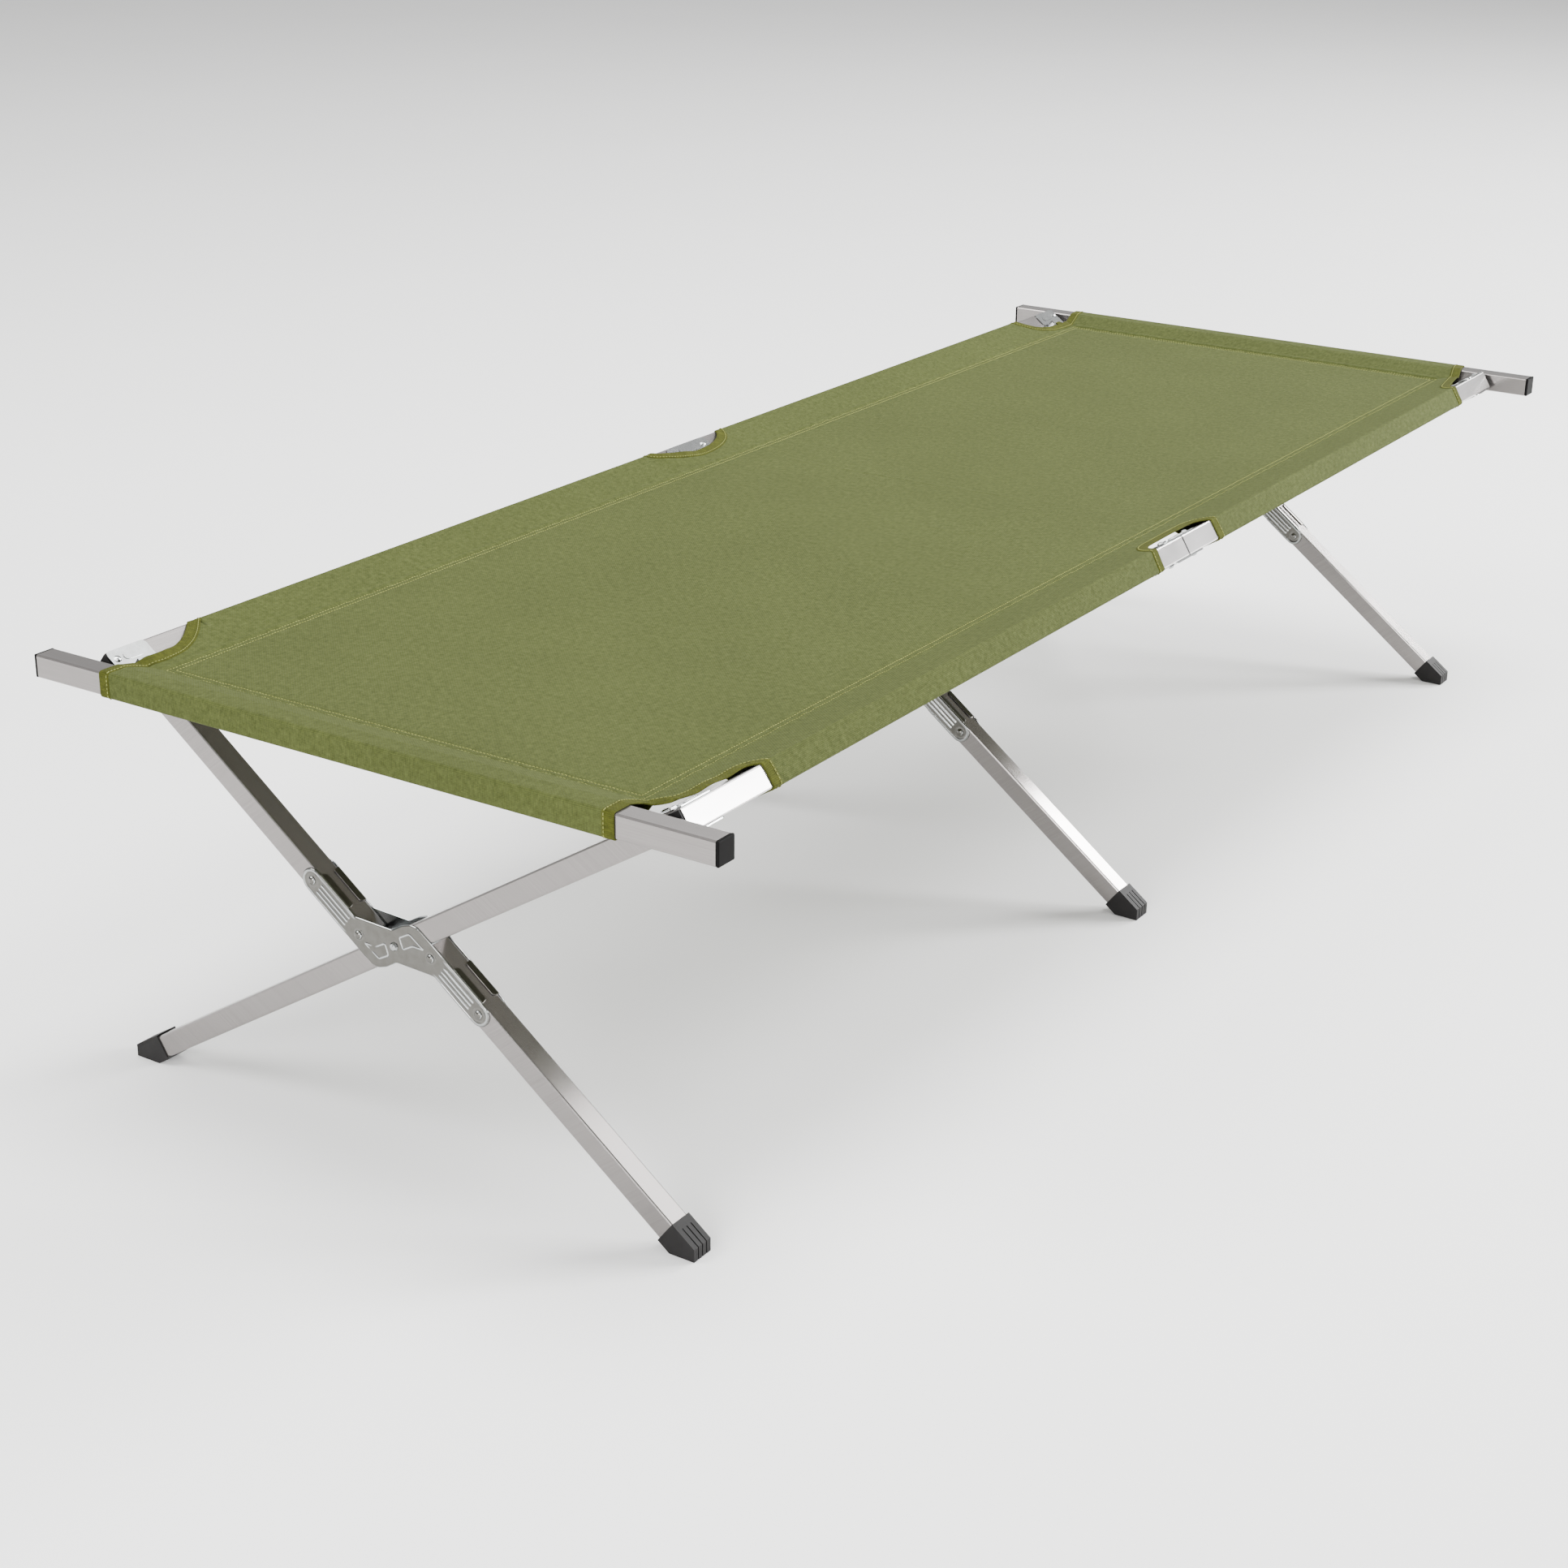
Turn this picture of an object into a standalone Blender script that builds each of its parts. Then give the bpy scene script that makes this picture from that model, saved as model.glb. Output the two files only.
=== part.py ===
"""Folding camp bed: a stretched canvas on two side rails, three scissor leg sets and two loose end bars.

The bed stands on the XY plane, centred on the origin, with its length along Y. Each side rail and the legs
that hang from it form one flat frame. The two frames cross on one long axis, along which the three leg sets
are riveted, so every piece of a frame is laid out in that frame's own axes: X along its legs, Z across them.
"""

import math

import bmesh
import bpy
from mathutils import Matrix, Vector

# Fits between pieces
GAP = 0.0003
PRESS = 0.0004
BITE = 0.0003

# Square tube that the rails, the legs and the end bars are cut from
TUBE = 0.025
TUBE_WALL = 0.0015
TUBE_CORNER = 0.0018

# Overall layout
BED_LENGTH = 2.100
RAIL_HALF_SPAN = 0.357
BAR_OVERHANG = 0.0695
PIVOT_HEIGHT = 0.236
LONG_LEG_ANGLE = math.radians(32.0)
SPLIT_LEG_ANGLE = math.radians(37.2)
END_LEG_SETBACK = 0.065
MID_LEG_Y = -0.045

# Side rails
RAIL_END_TO_BAR = 0.010
RAIL_JOINT_GAP = 0.003
RAIL_HINGE_RIVET_Y = 0.031
RAIL_END_RIVET_SETBACK = 0.006

# Split leg: its halves lie on either side of the axis, so the long leg can close between them
HALF_LEG_OFFSET = 0.028
HALF_LEG_STOP = 0.030

# Leg tops: a pin across the leg, held by a bracket on the rail
LEG_PIN_SETBACK = 0.032
LEG_TOP_OVERRUN = 0.012
LEG_PIN_RADIUS = 0.003
LEG_PIN_HEAD_RADIUS = 0.0052
LEG_PIN_HEAD = 0.002
BRACKET_SHEET = 0.0015
BRACKET_EAR_WIDTH = 0.024
BRACKET_FLANGE_LENGTH = 0.048

# Stamped plates that join the halves of a split leg
JOINT_SHEET = 0.0012
JOINT_ARM_HALF_WIDTH = 0.0134
JOINT_INNER_RIVET = 0.0375
JOINT_OUTER_RIVET = 0.1115
JOINT_ARM_END_RADIUS = 0.0128
JOINT_SHOULDER = 0.037
JOINT_SHOULDER_NECK = (0.0070, 0.0275)
JOINT_NECK = (0.0120, 0.0130)
JOINT_ARM_ROOT = 0.052
JOINT_EMBOSS = 0.0009
JOINT_TAB_START = 0.0625
JOINT_TAB_END = 0.107
JOINT_TAB_DEPTH = 0.009
JOINT_RIB_START = 0.063
JOINT_RIB_END = 0.099
JOINT_RIB_RADIUS = 0.0048
JOINT_PANEL = ((-0.0010, 0.0140), (0.0050, 0.0275), (0.0270, 0.0285), (0.0155, 0.0205), (0.0095, 0.0070))

# Rivets
RIVET_RADIUS = 0.0025
RIVET_HEAD_RADIUS = 0.0046
RIVET_HEAD = 0.0030
RIVET_TAIL_RADIUS = 0.0040
RIVET_TAIL = 0.0024
AXLE_RADIUS = 0.0030
AXLE_HEAD_RADIUS = 0.0050
HOLE_CLEARANCE = 0.0004

# Straps over the joint in the middle of each rail
STRAP_SHEET = 0.0015
STRAP_WIDTH = 0.022
STRAP_END = 0.014
STRAP_RIB_WIDTH = 0.010
STRAP_RIB_LENGTH = 0.040
STRAP_RIB_CORNER = 0.003
STRAP_RIB = 0.0010

# Plates and plastic stud at each rail end
END_PLATE_SHEET = 0.0012
END_PLATE_LENGTH = 0.054
END_PLATE_WIDTH = 0.0236
END_PLATE_CORNER = 0.005
END_PLATE_OVERHANG = 0.0020
END_PLATE_OVAL_Y = 0.030
END_PLATE_OVAL_LENGTH = 0.027
END_PLATE_OVAL_WIDTH = 0.009
END_PLATE_EMBOSS = 0.0007
STUD_BODY_LENGTH = 0.0120
STUD_COLLAR = 0.0022
STUD_COLLAR_SIZE = 0.0226
STUD_NOSE_RADIUS = 0.005
STUD_INSERTION = 0.0045
STUD_HOLE_RADIUS = 0.008

# Feet
FOOT_WALL = 0.0020
FOOT_CHEEK = 0.0013
FOOT_GRIP = 0.0172
FOOT_TIP_OVERHANG = 0.0056
FOOT_FLOOR = 0.0030
FOOT_GROOVE_START = 0.0090
FOOT_GROOVE_WIDTH = 0.0014
FOOT_GROOVE_DEPTH = 0.0008
FOOT_GROOVE_Y = (-0.0068, 0.0, 0.0068)

# Plugs in the ends of the end bars
PLUG_FACE = 0.0035
PLUG_SPIGOT = 0.016
PLUG_EDGE = 0.0010

# Canvas
CLOTH = 0.0012
CLOTH_GAP = 0.0004
CANVAS_OVERHANG = 0.0055
SHEET_LIFT = 0.0012
CANVAS_CREST = 0.0045
END_SEAM_SETBACK = 0.061
END_SEAM_TONGUE = 0.020
END_LOOP_START = 0.0007
END_SEAM_TUCK = 0.008
END_SLEEVE_INSET = 0.041
CORNER_CUT_SETBACK = 0.161
CORNER_CUT_INSET = 0.023
CORNER_CUT_ROUND = 0.020
CORNER_CUT_NECK = 0.061
MID_CUT_Y = 0.002
MID_CUT_HALF_LENGTH = 0.075
MID_CUT_DEPTH = 0.043
MID_CUT_SQUARENESS = 0.35
RAIL_SEAM_INSET = 0.055

# Smoothness of turned pieces and arcs
RIVET_SIDES = 8
STUD_SIDES = 16
ARC_STEPS = 6
EAR_STEPS = 8
DOME_STEPS = 2

# Sizes that follow from those above
HALF_TUBE = TUBE / 2
TUBE_BORE = TUBE - 2 * TUBE_WALL
BED_END = BED_LENGTH / 2
BAR_LENGTH = 2 * (RAIL_HALF_SPAN + BAR_OVERHANG)
LEG_SET_Y = {"near": END_LEG_SETBACK - BED_END, "mid": MID_LEG_Y, "far": BED_END - END_LEG_SETBACK}
CORNER_CUT_Y = BED_END - CORNER_CUT_SETBACK
BAR_INNER_Y = BED_END - TUBE
BAR_Y = BED_END - HALF_TUBE
RAIL_END_Y = BAR_INNER_Y - RAIL_END_TO_BAR
RAIL_HEIGHT = PIVOT_HEIGHT + RAIL_HALF_SPAN * math.tan(LONG_LEG_ANGLE)
SHEET_UNDER = RAIL_HEIGHT + HALF_TUBE * (math.sin(SPLIT_LEG_ANGLE) + math.cos(SPLIT_LEG_ANGLE)) + CLOTH_GAP
SIDES = {"near": -1, "far": 1}

COLLECTION = bpy.data.collections.new("folding_camp_bed")
CUTTERS = bpy.data.collections.new("cutters")


def clear_scene():
    """Remove every object, then link the two collections of this model."""
    for old in list(bpy.data.objects):
        bpy.data.objects.remove(old, do_unlink=True)
    bpy.context.scene.collection.children.link(COLLECTION)
    bpy.context.scene.collection.children.link(CUTTERS)


def finish(name, colour, metallic, roughness):
    """Return a Principled material with the given colour, metallic value and roughness."""
    material = bpy.data.materials.new(name)
    material.use_nodes = True
    shader = material.node_tree.nodes["Principled BSDF"]
    shader.inputs["Base Color"].default_value = (*colour, 1.0)
    shader.inputs["Metallic"].default_value = metallic
    shader.inputs["Roughness"].default_value = roughness
    return material


def make_finishes():
    """Return the materials of the bed, by name."""
    return {
        "aluminium": finish("satin_aluminium", (0.52, 0.51, 0.50), 1.0, 0.36),
        "zinc": finish("zinc_plated_steel", (0.66, 0.68, 0.70), 1.0, 0.24),
        "plastic": finish("black_plastic", (0.030, 0.029, 0.028), 0.0, 0.48),
        "canvas": finish("olive_canvas", (0.198, 0.235, 0.093), 0.0, 0.92),
    }


FINISHES = make_finishes()


class Frame:
    """A rigid group of pieces: an empty on the joint axis, and the axes its pieces are laid out in."""

    def __init__(self, name, origin, turn=0.0):
        """Place the empty at origin, turned about Y."""
        self.empty = bpy.data.objects.new(name, None)
        COLLECTION.objects.link(self.empty)
        self.empty.location = origin
        self.empty.rotation_euler = (0.0, turn, 0.0)
        self.matrix = Matrix.Translation(origin) @ Matrix.Rotation(turn, 4, "Y")

    def local(self, point):
        """Return the frame's own coordinates of a point given in the bed's axes."""
        return self.matrix.inverted() @ Vector(point)

    def add(self, piece, finish_name, location=(0.0, 0.0, 0.0)):
        """Hang a piece on this frame at a place in the frame's axes."""
        piece.parent = self.empty
        piece.location = location
        piece.data.materials.clear()
        piece.data.materials.append(FINISHES[finish_name])
        return piece


def new_object(name, mesh, cutter=False):
    """Link a mesh as a piece of the bed, or as a cutter."""
    piece = bpy.data.objects.new(name, mesh)
    (CUTTERS if cutter else COLLECTION).objects.link(piece)
    if cutter:
        piece.hide_render = True
        piece.display_type = "WIRE"
    return piece


def arc(centre, radius, start, end, steps=ARC_STEPS):
    """Return points on an arc, angles in degrees."""
    turns = [math.radians(start + (end - start) * i / steps) for i in range(steps + 1)]
    return [(centre[0] + radius * math.cos(t), centre[1] + radius * math.sin(t)) for t in turns]


def rounded_rectangle(width, height, radius, steps=2, centre=(0.0, 0.0)):
    """Return the outline of a rectangle with round corners."""
    x, y = width / 2 - radius, height / 2 - radius
    corners = [((x, y), 0), ((-x, y), 90), ((-x, -y), 180), ((x, -y), 270)]
    points = []
    for (cx, cy), start in corners:
        points += arc((centre[0] + cx, centre[1] + cy), radius, start, start + 90, steps)
    return points


def stadium(half_straight, radius, centre=(0.0, 0.0), steps=ARC_STEPS):
    """Return an outline with straight sides along its second direction and round ends."""
    x, y = centre
    top = arc((x, y + half_straight), radius, 0, 180, steps)
    return top + arc((x, y - half_straight), radius, 180, 360, steps)


def swapped(points):
    """Return an outline with its two directions exchanged."""
    return [(y, x) for x, y in points]


def rectangle(low, high):
    """Return the outline of a rectangle between two corners."""
    return [(low[0], low[1]), (high[0], low[1]), (high[0], high[1]), (low[0], high[1])]


QUARTER = math.radians(90)
AXES = {"X": Vector((1.0, 0.0, 0.0)), "Y": Vector((0.0, 1.0, 0.0)), "Z": Vector((0.0, 0.0, 1.0))}
SLAB_TURNS = {
    "X": Matrix.Rotation(QUARTER, 4, "Z") @ Matrix.Rotation(QUARTER, 4, "X"),
    "Y": Matrix.Rotation(QUARTER, 4, "X"),
    "Z": Matrix.Identity(4),
}
ROD_TURNS = {
    "X": Matrix.Rotation(QUARTER, 4, "Y"),
    "Y": Matrix.Rotation(-QUARTER, 4, "X"),
    "Z": Matrix.Identity(4),
}


def slab(outlines, axis, low, high):
    """Return closed outlines filled, with any holes, and drawn from low to high along an axis.

    Along Z the outline lies in X and Y, along Y it lies in X and Z, along X it lies in Y and Z.
    """
    curve = bpy.data.curves.new("outline", "CURVE")
    curve.dimensions = "2D"
    curve.fill_mode = "BOTH"
    curve.extrude = (high - low) / 2
    for points in outlines:
        spline = curve.splines.new("POLY")
        spline.points.add(len(points) - 1)
        for target, (x, y) in zip(spline.points, points):
            target.co = (x, y, 0.0, 1.0)
        spline.use_cyclic_u = True
    holder = bpy.data.objects.new("outline", curve)
    bpy.context.scene.collection.objects.link(holder)
    evaluated = holder.evaluated_get(bpy.context.evaluated_depsgraph_get())
    mesh = bpy.data.meshes.new_from_object(evaluated)
    bpy.data.objects.remove(holder, do_unlink=True)
    weld(mesh)
    mesh.transform(Matrix.Translation(AXES[axis] * (low + high) / 2) @ SLAB_TURNS[axis])
    return mesh


def sheet_plate(outlines, axis, middle, thickness):
    """Return a plate of sheet metal: outlines thickened evenly about a plane across an axis."""
    return slab(outlines, axis, middle - thickness / 2, middle + thickness / 2)


def weld(mesh):
    """Merge the doubled points of a mesh and point its faces outwards."""
    shape = bmesh.new()
    shape.from_mesh(mesh)
    bmesh.ops.remove_doubles(shape, verts=shape.verts, dist=1e-6)
    bmesh.ops.recalc_face_normals(shape, faces=shape.faces)
    shape.to_mesh(mesh)
    shape.free()


def box_mesh(low, high):
    """Return a box between two corners."""
    shape = bmesh.new()
    bmesh.ops.create_cube(shape, size=1.0)
    size = [h - l for l, h in zip(low, high)]
    middle = [(h + l) / 2 for l, h in zip(low, high)]
    place = Matrix.Translation(middle) @ Matrix.Diagonal((*size, 1.0))
    bmesh.ops.transform(shape, matrix=place, verts=shape.verts)
    mesh = bpy.data.meshes.new("box")
    shape.to_mesh(mesh)
    shape.free()
    return mesh


def rod_mesh(radius, low, high, sides=RIVET_SIDES):
    """Return a round rod along Z between two heights."""
    shape = bmesh.new()
    bmesh.ops.create_cone(shape, cap_ends=True, segments=sides, radius1=radius, radius2=radius,
                          depth=high - low, matrix=Matrix.Translation((0, 0, (low + high) / 2)))
    mesh = bpy.data.meshes.new("rod")
    shape.to_mesh(mesh)
    shape.free()
    return mesh


def turned_mesh(profile, sides=RIVET_SIDES):
    """Return a solid of revolution about Z: a profile of (radius, height) points from top to bottom."""
    mesh = bpy.data.meshes.new("profile")
    points = [(radius, 0.0, height) for radius, height in profile]
    mesh.from_pydata(points, [(i, i + 1) for i in range(len(points) - 1)], [])
    holder = bpy.data.objects.new("profile", mesh)
    bpy.context.scene.collection.objects.link(holder)
    screw = holder.modifiers.new("turn", "SCREW")
    screw.steps = sides
    screw.render_steps = sides
    screw.use_merge_vertices = True
    screw.merge_threshold = 0.00001
    evaluated = holder.evaluated_get(bpy.context.evaluated_depsgraph_get())
    result = bpy.data.meshes.new_from_object(evaluated)
    bpy.data.objects.remove(holder, do_unlink=True)
    weld(result)
    return result


def joined(meshes, places=None):
    """Return one mesh that holds a copy of each mesh at its place, as separate solids."""
    shape = bmesh.new()
    places = places or [Matrix.Identity(4)] * len(meshes)
    for mesh, place in zip(meshes, places):
        copy = mesh.copy()
        copy.transform(place)
        shape.from_mesh(copy)
        bpy.data.meshes.remove(copy)
    result = bpy.data.meshes.new("group")
    shape.to_mesh(result)
    shape.free()
    return result


def repeated(mesh, places):
    """Return one mesh with a copy of the same solid at each place."""
    return joined([mesh] * len(places), places)


def apply_boolean(mesh, other, operation):
    """Return the union or the difference of two meshes."""
    holder = bpy.data.objects.new("work", mesh)
    tool = bpy.data.objects.new("tool", other)
    for item in (holder, tool):
        bpy.context.scene.collection.objects.link(item)
    boolean = holder.modifiers.new("boolean", "BOOLEAN")
    boolean.operation = operation
    boolean.solver = "EXACT"
    boolean.object = tool
    evaluated = holder.evaluated_get(bpy.context.evaluated_depsgraph_get())
    result = bpy.data.meshes.new_from_object(evaluated)
    for item in (holder, tool):
        bpy.data.objects.remove(item, do_unlink=True)
    weld(result)
    return result


def cut(piece, mesh):
    """Cut a mesh out of a piece: the cutter stays in the scene, hung beside the piece."""
    cutter = new_object(piece.name + "_cutter", mesh, cutter=True)
    cutter.parent = piece
    boolean = piece.modifiers.new("cut", "BOOLEAN")
    boolean.operation = "DIFFERENCE"
    boolean.solver = "EXACT"
    boolean.object = cutter


def smooth(mesh):
    """Shade a mesh smooth, with creases at its sharp edges."""
    mesh.shade_smooth()
    mesh.set_sharp_from_angle(angle=math.radians(35))


def square_tube(name, axis, low, high, cross=(0.0, 0.0)):
    """Return a square tube with round corners and an open bore, from low to high along an axis.

    cross places the tube across its axis, in the outline's own two directions.
    """
    outer = rounded_rectangle(TUBE, TUBE, TUBE_CORNER, centre=cross)
    x, y = cross
    half = TUBE_BORE / 2
    bore = rectangle((x - half, y - half), (x + half, y + half))
    mesh = slab([outer, bore], axis, low, high)
    smooth(mesh)
    return new_object(name, mesh)


def dome(radius, height, base, steps=DOME_STEPS):
    """Return the profile of a dome, from its top on the axis out to its rim."""
    turns = [math.radians(90 * i / steps) for i in range(steps + 1)]
    return [(radius * math.sin(t), base + height * math.cos(t)) for t in turns]


def rivet_mesh(top, bottom, size=None, tail=None):
    """Return a rivet along Z: its head stands on top, and its domed tail hangs below bottom.

    size is the radius of the shank, of the head and the height of the head; tail is the tail's radius and
    height.
    """
    shank, head_radius, head = size or (RIVET_RADIUS, RIVET_HEAD_RADIUS, RIVET_HEAD)
    tail_radius, tail_height = tail or (RIVET_TAIL_RADIUS, RIVET_TAIL)
    foot_dome = reversed(dome(tail_radius, -tail_height, bottom))
    mesh = turned_mesh([*dome(head_radius, head, top), (shank, top), (shank, bottom), *foot_dome])
    smooth(mesh)
    return mesh


def placed(mesh, place, turn=None):
    """Return a copy of a mesh, turned and then moved."""
    copy = mesh.copy()
    copy.transform(Matrix.Translation(place) @ (turn or Matrix.Identity(4)))
    return copy


def united(mesh, others):
    """Return a mesh joined with every other into one solid."""
    for other in others:
        mesh = apply_boolean(mesh, other, "UNION")
    return mesh


def foot_stations(angle, offset):
    """Return the corners of a foot along and across its leg, and where the tube ends inside it.

    The sole is level with the ground and the tip is upright, whatever the slope of the leg.
    """
    sine, cosine = math.sin(angle), math.cos(angle)
    half = HALF_TUBE + FOOT_WALL
    heel = (PIVOT_HEIGHT + (offset - half) * cosine) / sine
    tube_end = (PIVOT_HEIGHT - FOOT_FLOOR + (offset - HALF_TUBE) * cosine) / sine
    centre = (PIVOT_HEIGHT + offset * cosine) / sine
    tip_reach = centre * cosine + offset * sine + FOOT_TIP_OVERHANG
    return {
        "top": heel - FOOT_GRIP,
        "heel": heel,
        "tube_end": tube_end,
        "tip_reach": tip_reach,
        "low": offset - half,
        "high": offset + half,
        "sine": sine,
        "cosine": cosine,
    }


def from_level(stations, reach, drop):
    """Return along and across coordinates of a point given by its reach from the axis and its drop."""
    sine, cosine = stations["sine"], stations["cosine"]
    return reach * cosine + drop * sine, reach * sine - drop * cosine


def on_tip(stations, reach, across):
    """Return along and across coordinates where an upright line meets a line beside the leg."""
    return (reach - across * stations["sine"]) / stations["cosine"], across


def foot(name, angle, offset, direction, y):
    """Return a foot: a plastic cap with a level sole, an upright tip and grooves over its outer side."""
    s = foot_stations(angle, offset)
    tip = s["tip_reach"]
    outline = [(s["top"], s["low"]), (s["heel"], s["low"]), from_level(s, tip, PIVOT_HEIGHT),
               on_tip(s, tip, s["high"]), (s["top"], s["high"])]
    half_y = HALF_TUBE + FOOT_CHEEK
    piece = new_object(name, slab([mirrored(outline, direction)], "Y", y - half_y, y + half_y))
    pocket = HALF_TUBE + GAP
    ends = sorted((direction * (s["top"] - FOOT_WALL), direction * (s["tube_end"] + GAP)))
    socket = box_mesh((ends[0], y - pocket, offset - pocket), (ends[1], y + pocket, offset + pocket))
    depth, margin = FOOT_GROOVE_DEPTH, FOOT_WALL
    start = s["top"] + FOOT_GROOVE_START
    below = PIVOT_HEIGHT + margin
    groove = [(start, s["high"] - depth), on_tip(s, tip - depth, s["high"] - depth),
              from_level(s, tip - depth, below), from_level(s, tip + margin, below),
              on_tip(s, tip + margin, s["high"] + margin), (start, s["high"] + margin)]
    groove = mirrored(groove, direction)
    strips = [sheet_plate([groove], "Y", y + shift, FOOT_GROOVE_WIDTH) for shift in FOOT_GROOVE_Y]
    cut(piece, joined([socket, *strips]))
    return piece


def mirrored(points, direction):
    """Return an outline as it is, or mirrored along the leg for a leg that runs the other way."""
    return [(direction * x, z) for x, z in points]


def hole_rods(radius, depth, places, axis):
    """Return round cutters of a given depth through each place, along one axis."""
    rod = rod_mesh(radius + HOLE_CLEARANCE, -depth / 2, depth / 2)
    return repeated(rod, [Matrix.Translation(place) @ ROD_TURNS[axis] for place in places])


def leg_tube(name, low, high, offset, y, pin_x, rivet_xs, rivet_radius):
    """Return a leg tube along X, with the hole of its top pin and those of its rivets."""
    piece = square_tube(name, "X", low, high, cross=(y, offset))
    through = 2 * TUBE
    holes = [hole_rods(rivet_radius, through, [(x, y, offset) for x in rivet_xs], "Y")]
    if pin_x is not None:
        holes.append(hole_rods(LEG_PIN_RADIUS, through, [(pin_x, y, offset)], "Z"))
    cut(piece, joined(holes))
    return piece


def bracket(name, rail_x, rail_z, leg_z, direction, y):
    """Return the stamped saddle that carries a leg's top pin on the inner face of its rail.

    A flange lies on the rail. Two ears reach along the leg, one on each side of the tube, and the pin is
    riveted over them, so all of it is one solid.
    """
    face = rail_x - HALF_TUBE - GAP
    back = face - BRACKET_SHEET
    pin_x = rail_x - LEG_PIN_SETBACK
    ear = BRACKET_EAR_WIDTH / 2
    flange_y = BRACKET_FLANGE_LENGTH / 2
    ear_inner = HALF_TUBE + GAP
    ear_outer = ear_inner + BRACKET_SHEET
    low, high = rail_z - HALF_TUBE, rail_z + HALF_TUBE
    web_low, web_high = min(low, leg_z - ear_outer) - BITE, max(high, leg_z + ear_outer) + BITE
    web_y = ear + BITE
    x_low, x_high = sorted((direction * back, direction * face))
    mesh = box_mesh((x_low, y - flange_y, low), (x_high, y + flange_y, high))
    others = [box_mesh((x_low, y - web_y, web_low), (x_high, y + web_y, web_high))]
    root = back + BRACKET_SHEET / 2
    outline = mirrored([(root, -ear), *arc((pin_x, 0.0), ear, 270, 90, EAR_STEPS), (root, ear)], direction)
    outline = [(x, y + across) for x, across in outline]
    for side in (-1, 1):
        height = leg_z + side * (ear_inner + BRACKET_SHEET / 2)
        others.append(sheet_plate([outline], "Z", height, BRACKET_SHEET))
    seat = ear_outer - BITE
    head = (LEG_PIN_HEAD_RADIUS, LEG_PIN_HEAD)
    pin = rivet_mesh(seat, -seat, (LEG_PIN_RADIUS, *head), head)
    others.append(placed(pin, (direction * pin_x, y, leg_z)))
    return new_object(name, united(mesh, others))


def rail(name, side, rail_x, rail_z, direction):
    """Return half of a side rail, from the joint in the middle of the bed to its end."""
    inner, outer = sorted((side * RAIL_JOINT_GAP / 2, side * RAIL_END_Y))
    piece = square_tube(name, "Y", inner, outer, cross=(direction * rail_x, rail_z))
    rivet_ys = (side * RAIL_HINGE_RIVET_Y, side * (RAIL_END_Y - RAIL_END_RIVET_SETBACK))
    cut(piece, hole_rods(RIVET_RADIUS, 2 * TUBE, [(direction * rail_x, y, rail_z) for y in rivet_ys], "Z"))
    return piece


def rail_strap(name, rail_x, rail_z, direction, face):
    """Return a strap over the joint of a rail, with a raised rib between its two rivets.

    The upper strap carries the rivets, which run through the rail and through the lower strap.
    """
    radius = STRAP_WIDTH / 2
    x = direction * rail_x
    height = rail_z + face * (HALF_TUBE + GAP + STRAP_SHEET / 2)
    outline = stadium(RAIL_HINGE_RIVET_Y + STRAP_END - radius, radius, (x, 0.0))
    rib = rounded_rectangle(STRAP_RIB_WIDTH, STRAP_RIB_LENGTH, STRAP_RIB_CORNER, centre=(x, 0.0))
    raised = sheet_plate([rib], "Z", height + face * STRAP_RIB, STRAP_SHEET)
    mesh = united(sheet_plate([outline], "Z", height, STRAP_SHEET), [raised])
    rivet_ys = [side * RAIL_HINGE_RIVET_Y for side in (-1, 1)]
    seat = HALF_TUBE + GAP + STRAP_SHEET
    if face > 0:
        rivet = rivet_mesh(seat - BITE, -seat - GAP)
        mesh = united(mesh, [placed(rivet, (x, y, rail_z)) for y in rivet_ys])
    piece = new_object(name, mesh)
    if face < 0:
        cut(piece, hole_rods(RIVET_RADIUS, HALF_TUBE, [(x, y, height) for y in rivet_ys], "Z"))
    return piece


def end_plates(name, side, rail_x, rail_z, direction):
    """Return the two plates on the upper and lower faces of a rail end, held together by their rivet.

    Each plate has an oval pressed in it.
    """
    outer = RAIL_END_Y + END_PLATE_OVERHANG
    x, middle = direction * rail_x, side * (outer - END_PLATE_LENGTH / 2)
    oval_radius = END_PLATE_OVAL_WIDTH / 2
    oval_y = side * (outer - END_PLATE_OVAL_Y)
    seat = HALF_TUBE + GAP + END_PLATE_SHEET - BITE
    mesh = placed(rivet_mesh(seat, -seat), (x, side * (RAIL_END_Y - RAIL_END_RIVET_SETBACK), rail_z))
    for face in (-1, 1):
        height = rail_z + face * (HALF_TUBE + GAP + END_PLATE_SHEET / 2)
        outline = rounded_rectangle(END_PLATE_WIDTH, END_PLATE_LENGTH, END_PLATE_CORNER, 3, (x, middle))
        oval = stadium(END_PLATE_OVAL_LENGTH / 2 - oval_radius, oval_radius, (x, oval_y), 4)
        raised = sheet_plate([oval], "Z", height + face * END_PLATE_EMBOSS, END_PLATE_SHEET)
        mesh = united(mesh, [sheet_plate([outline], "Z", height, END_PLATE_SHEET), raised])
    return new_object(name, mesh)


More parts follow.
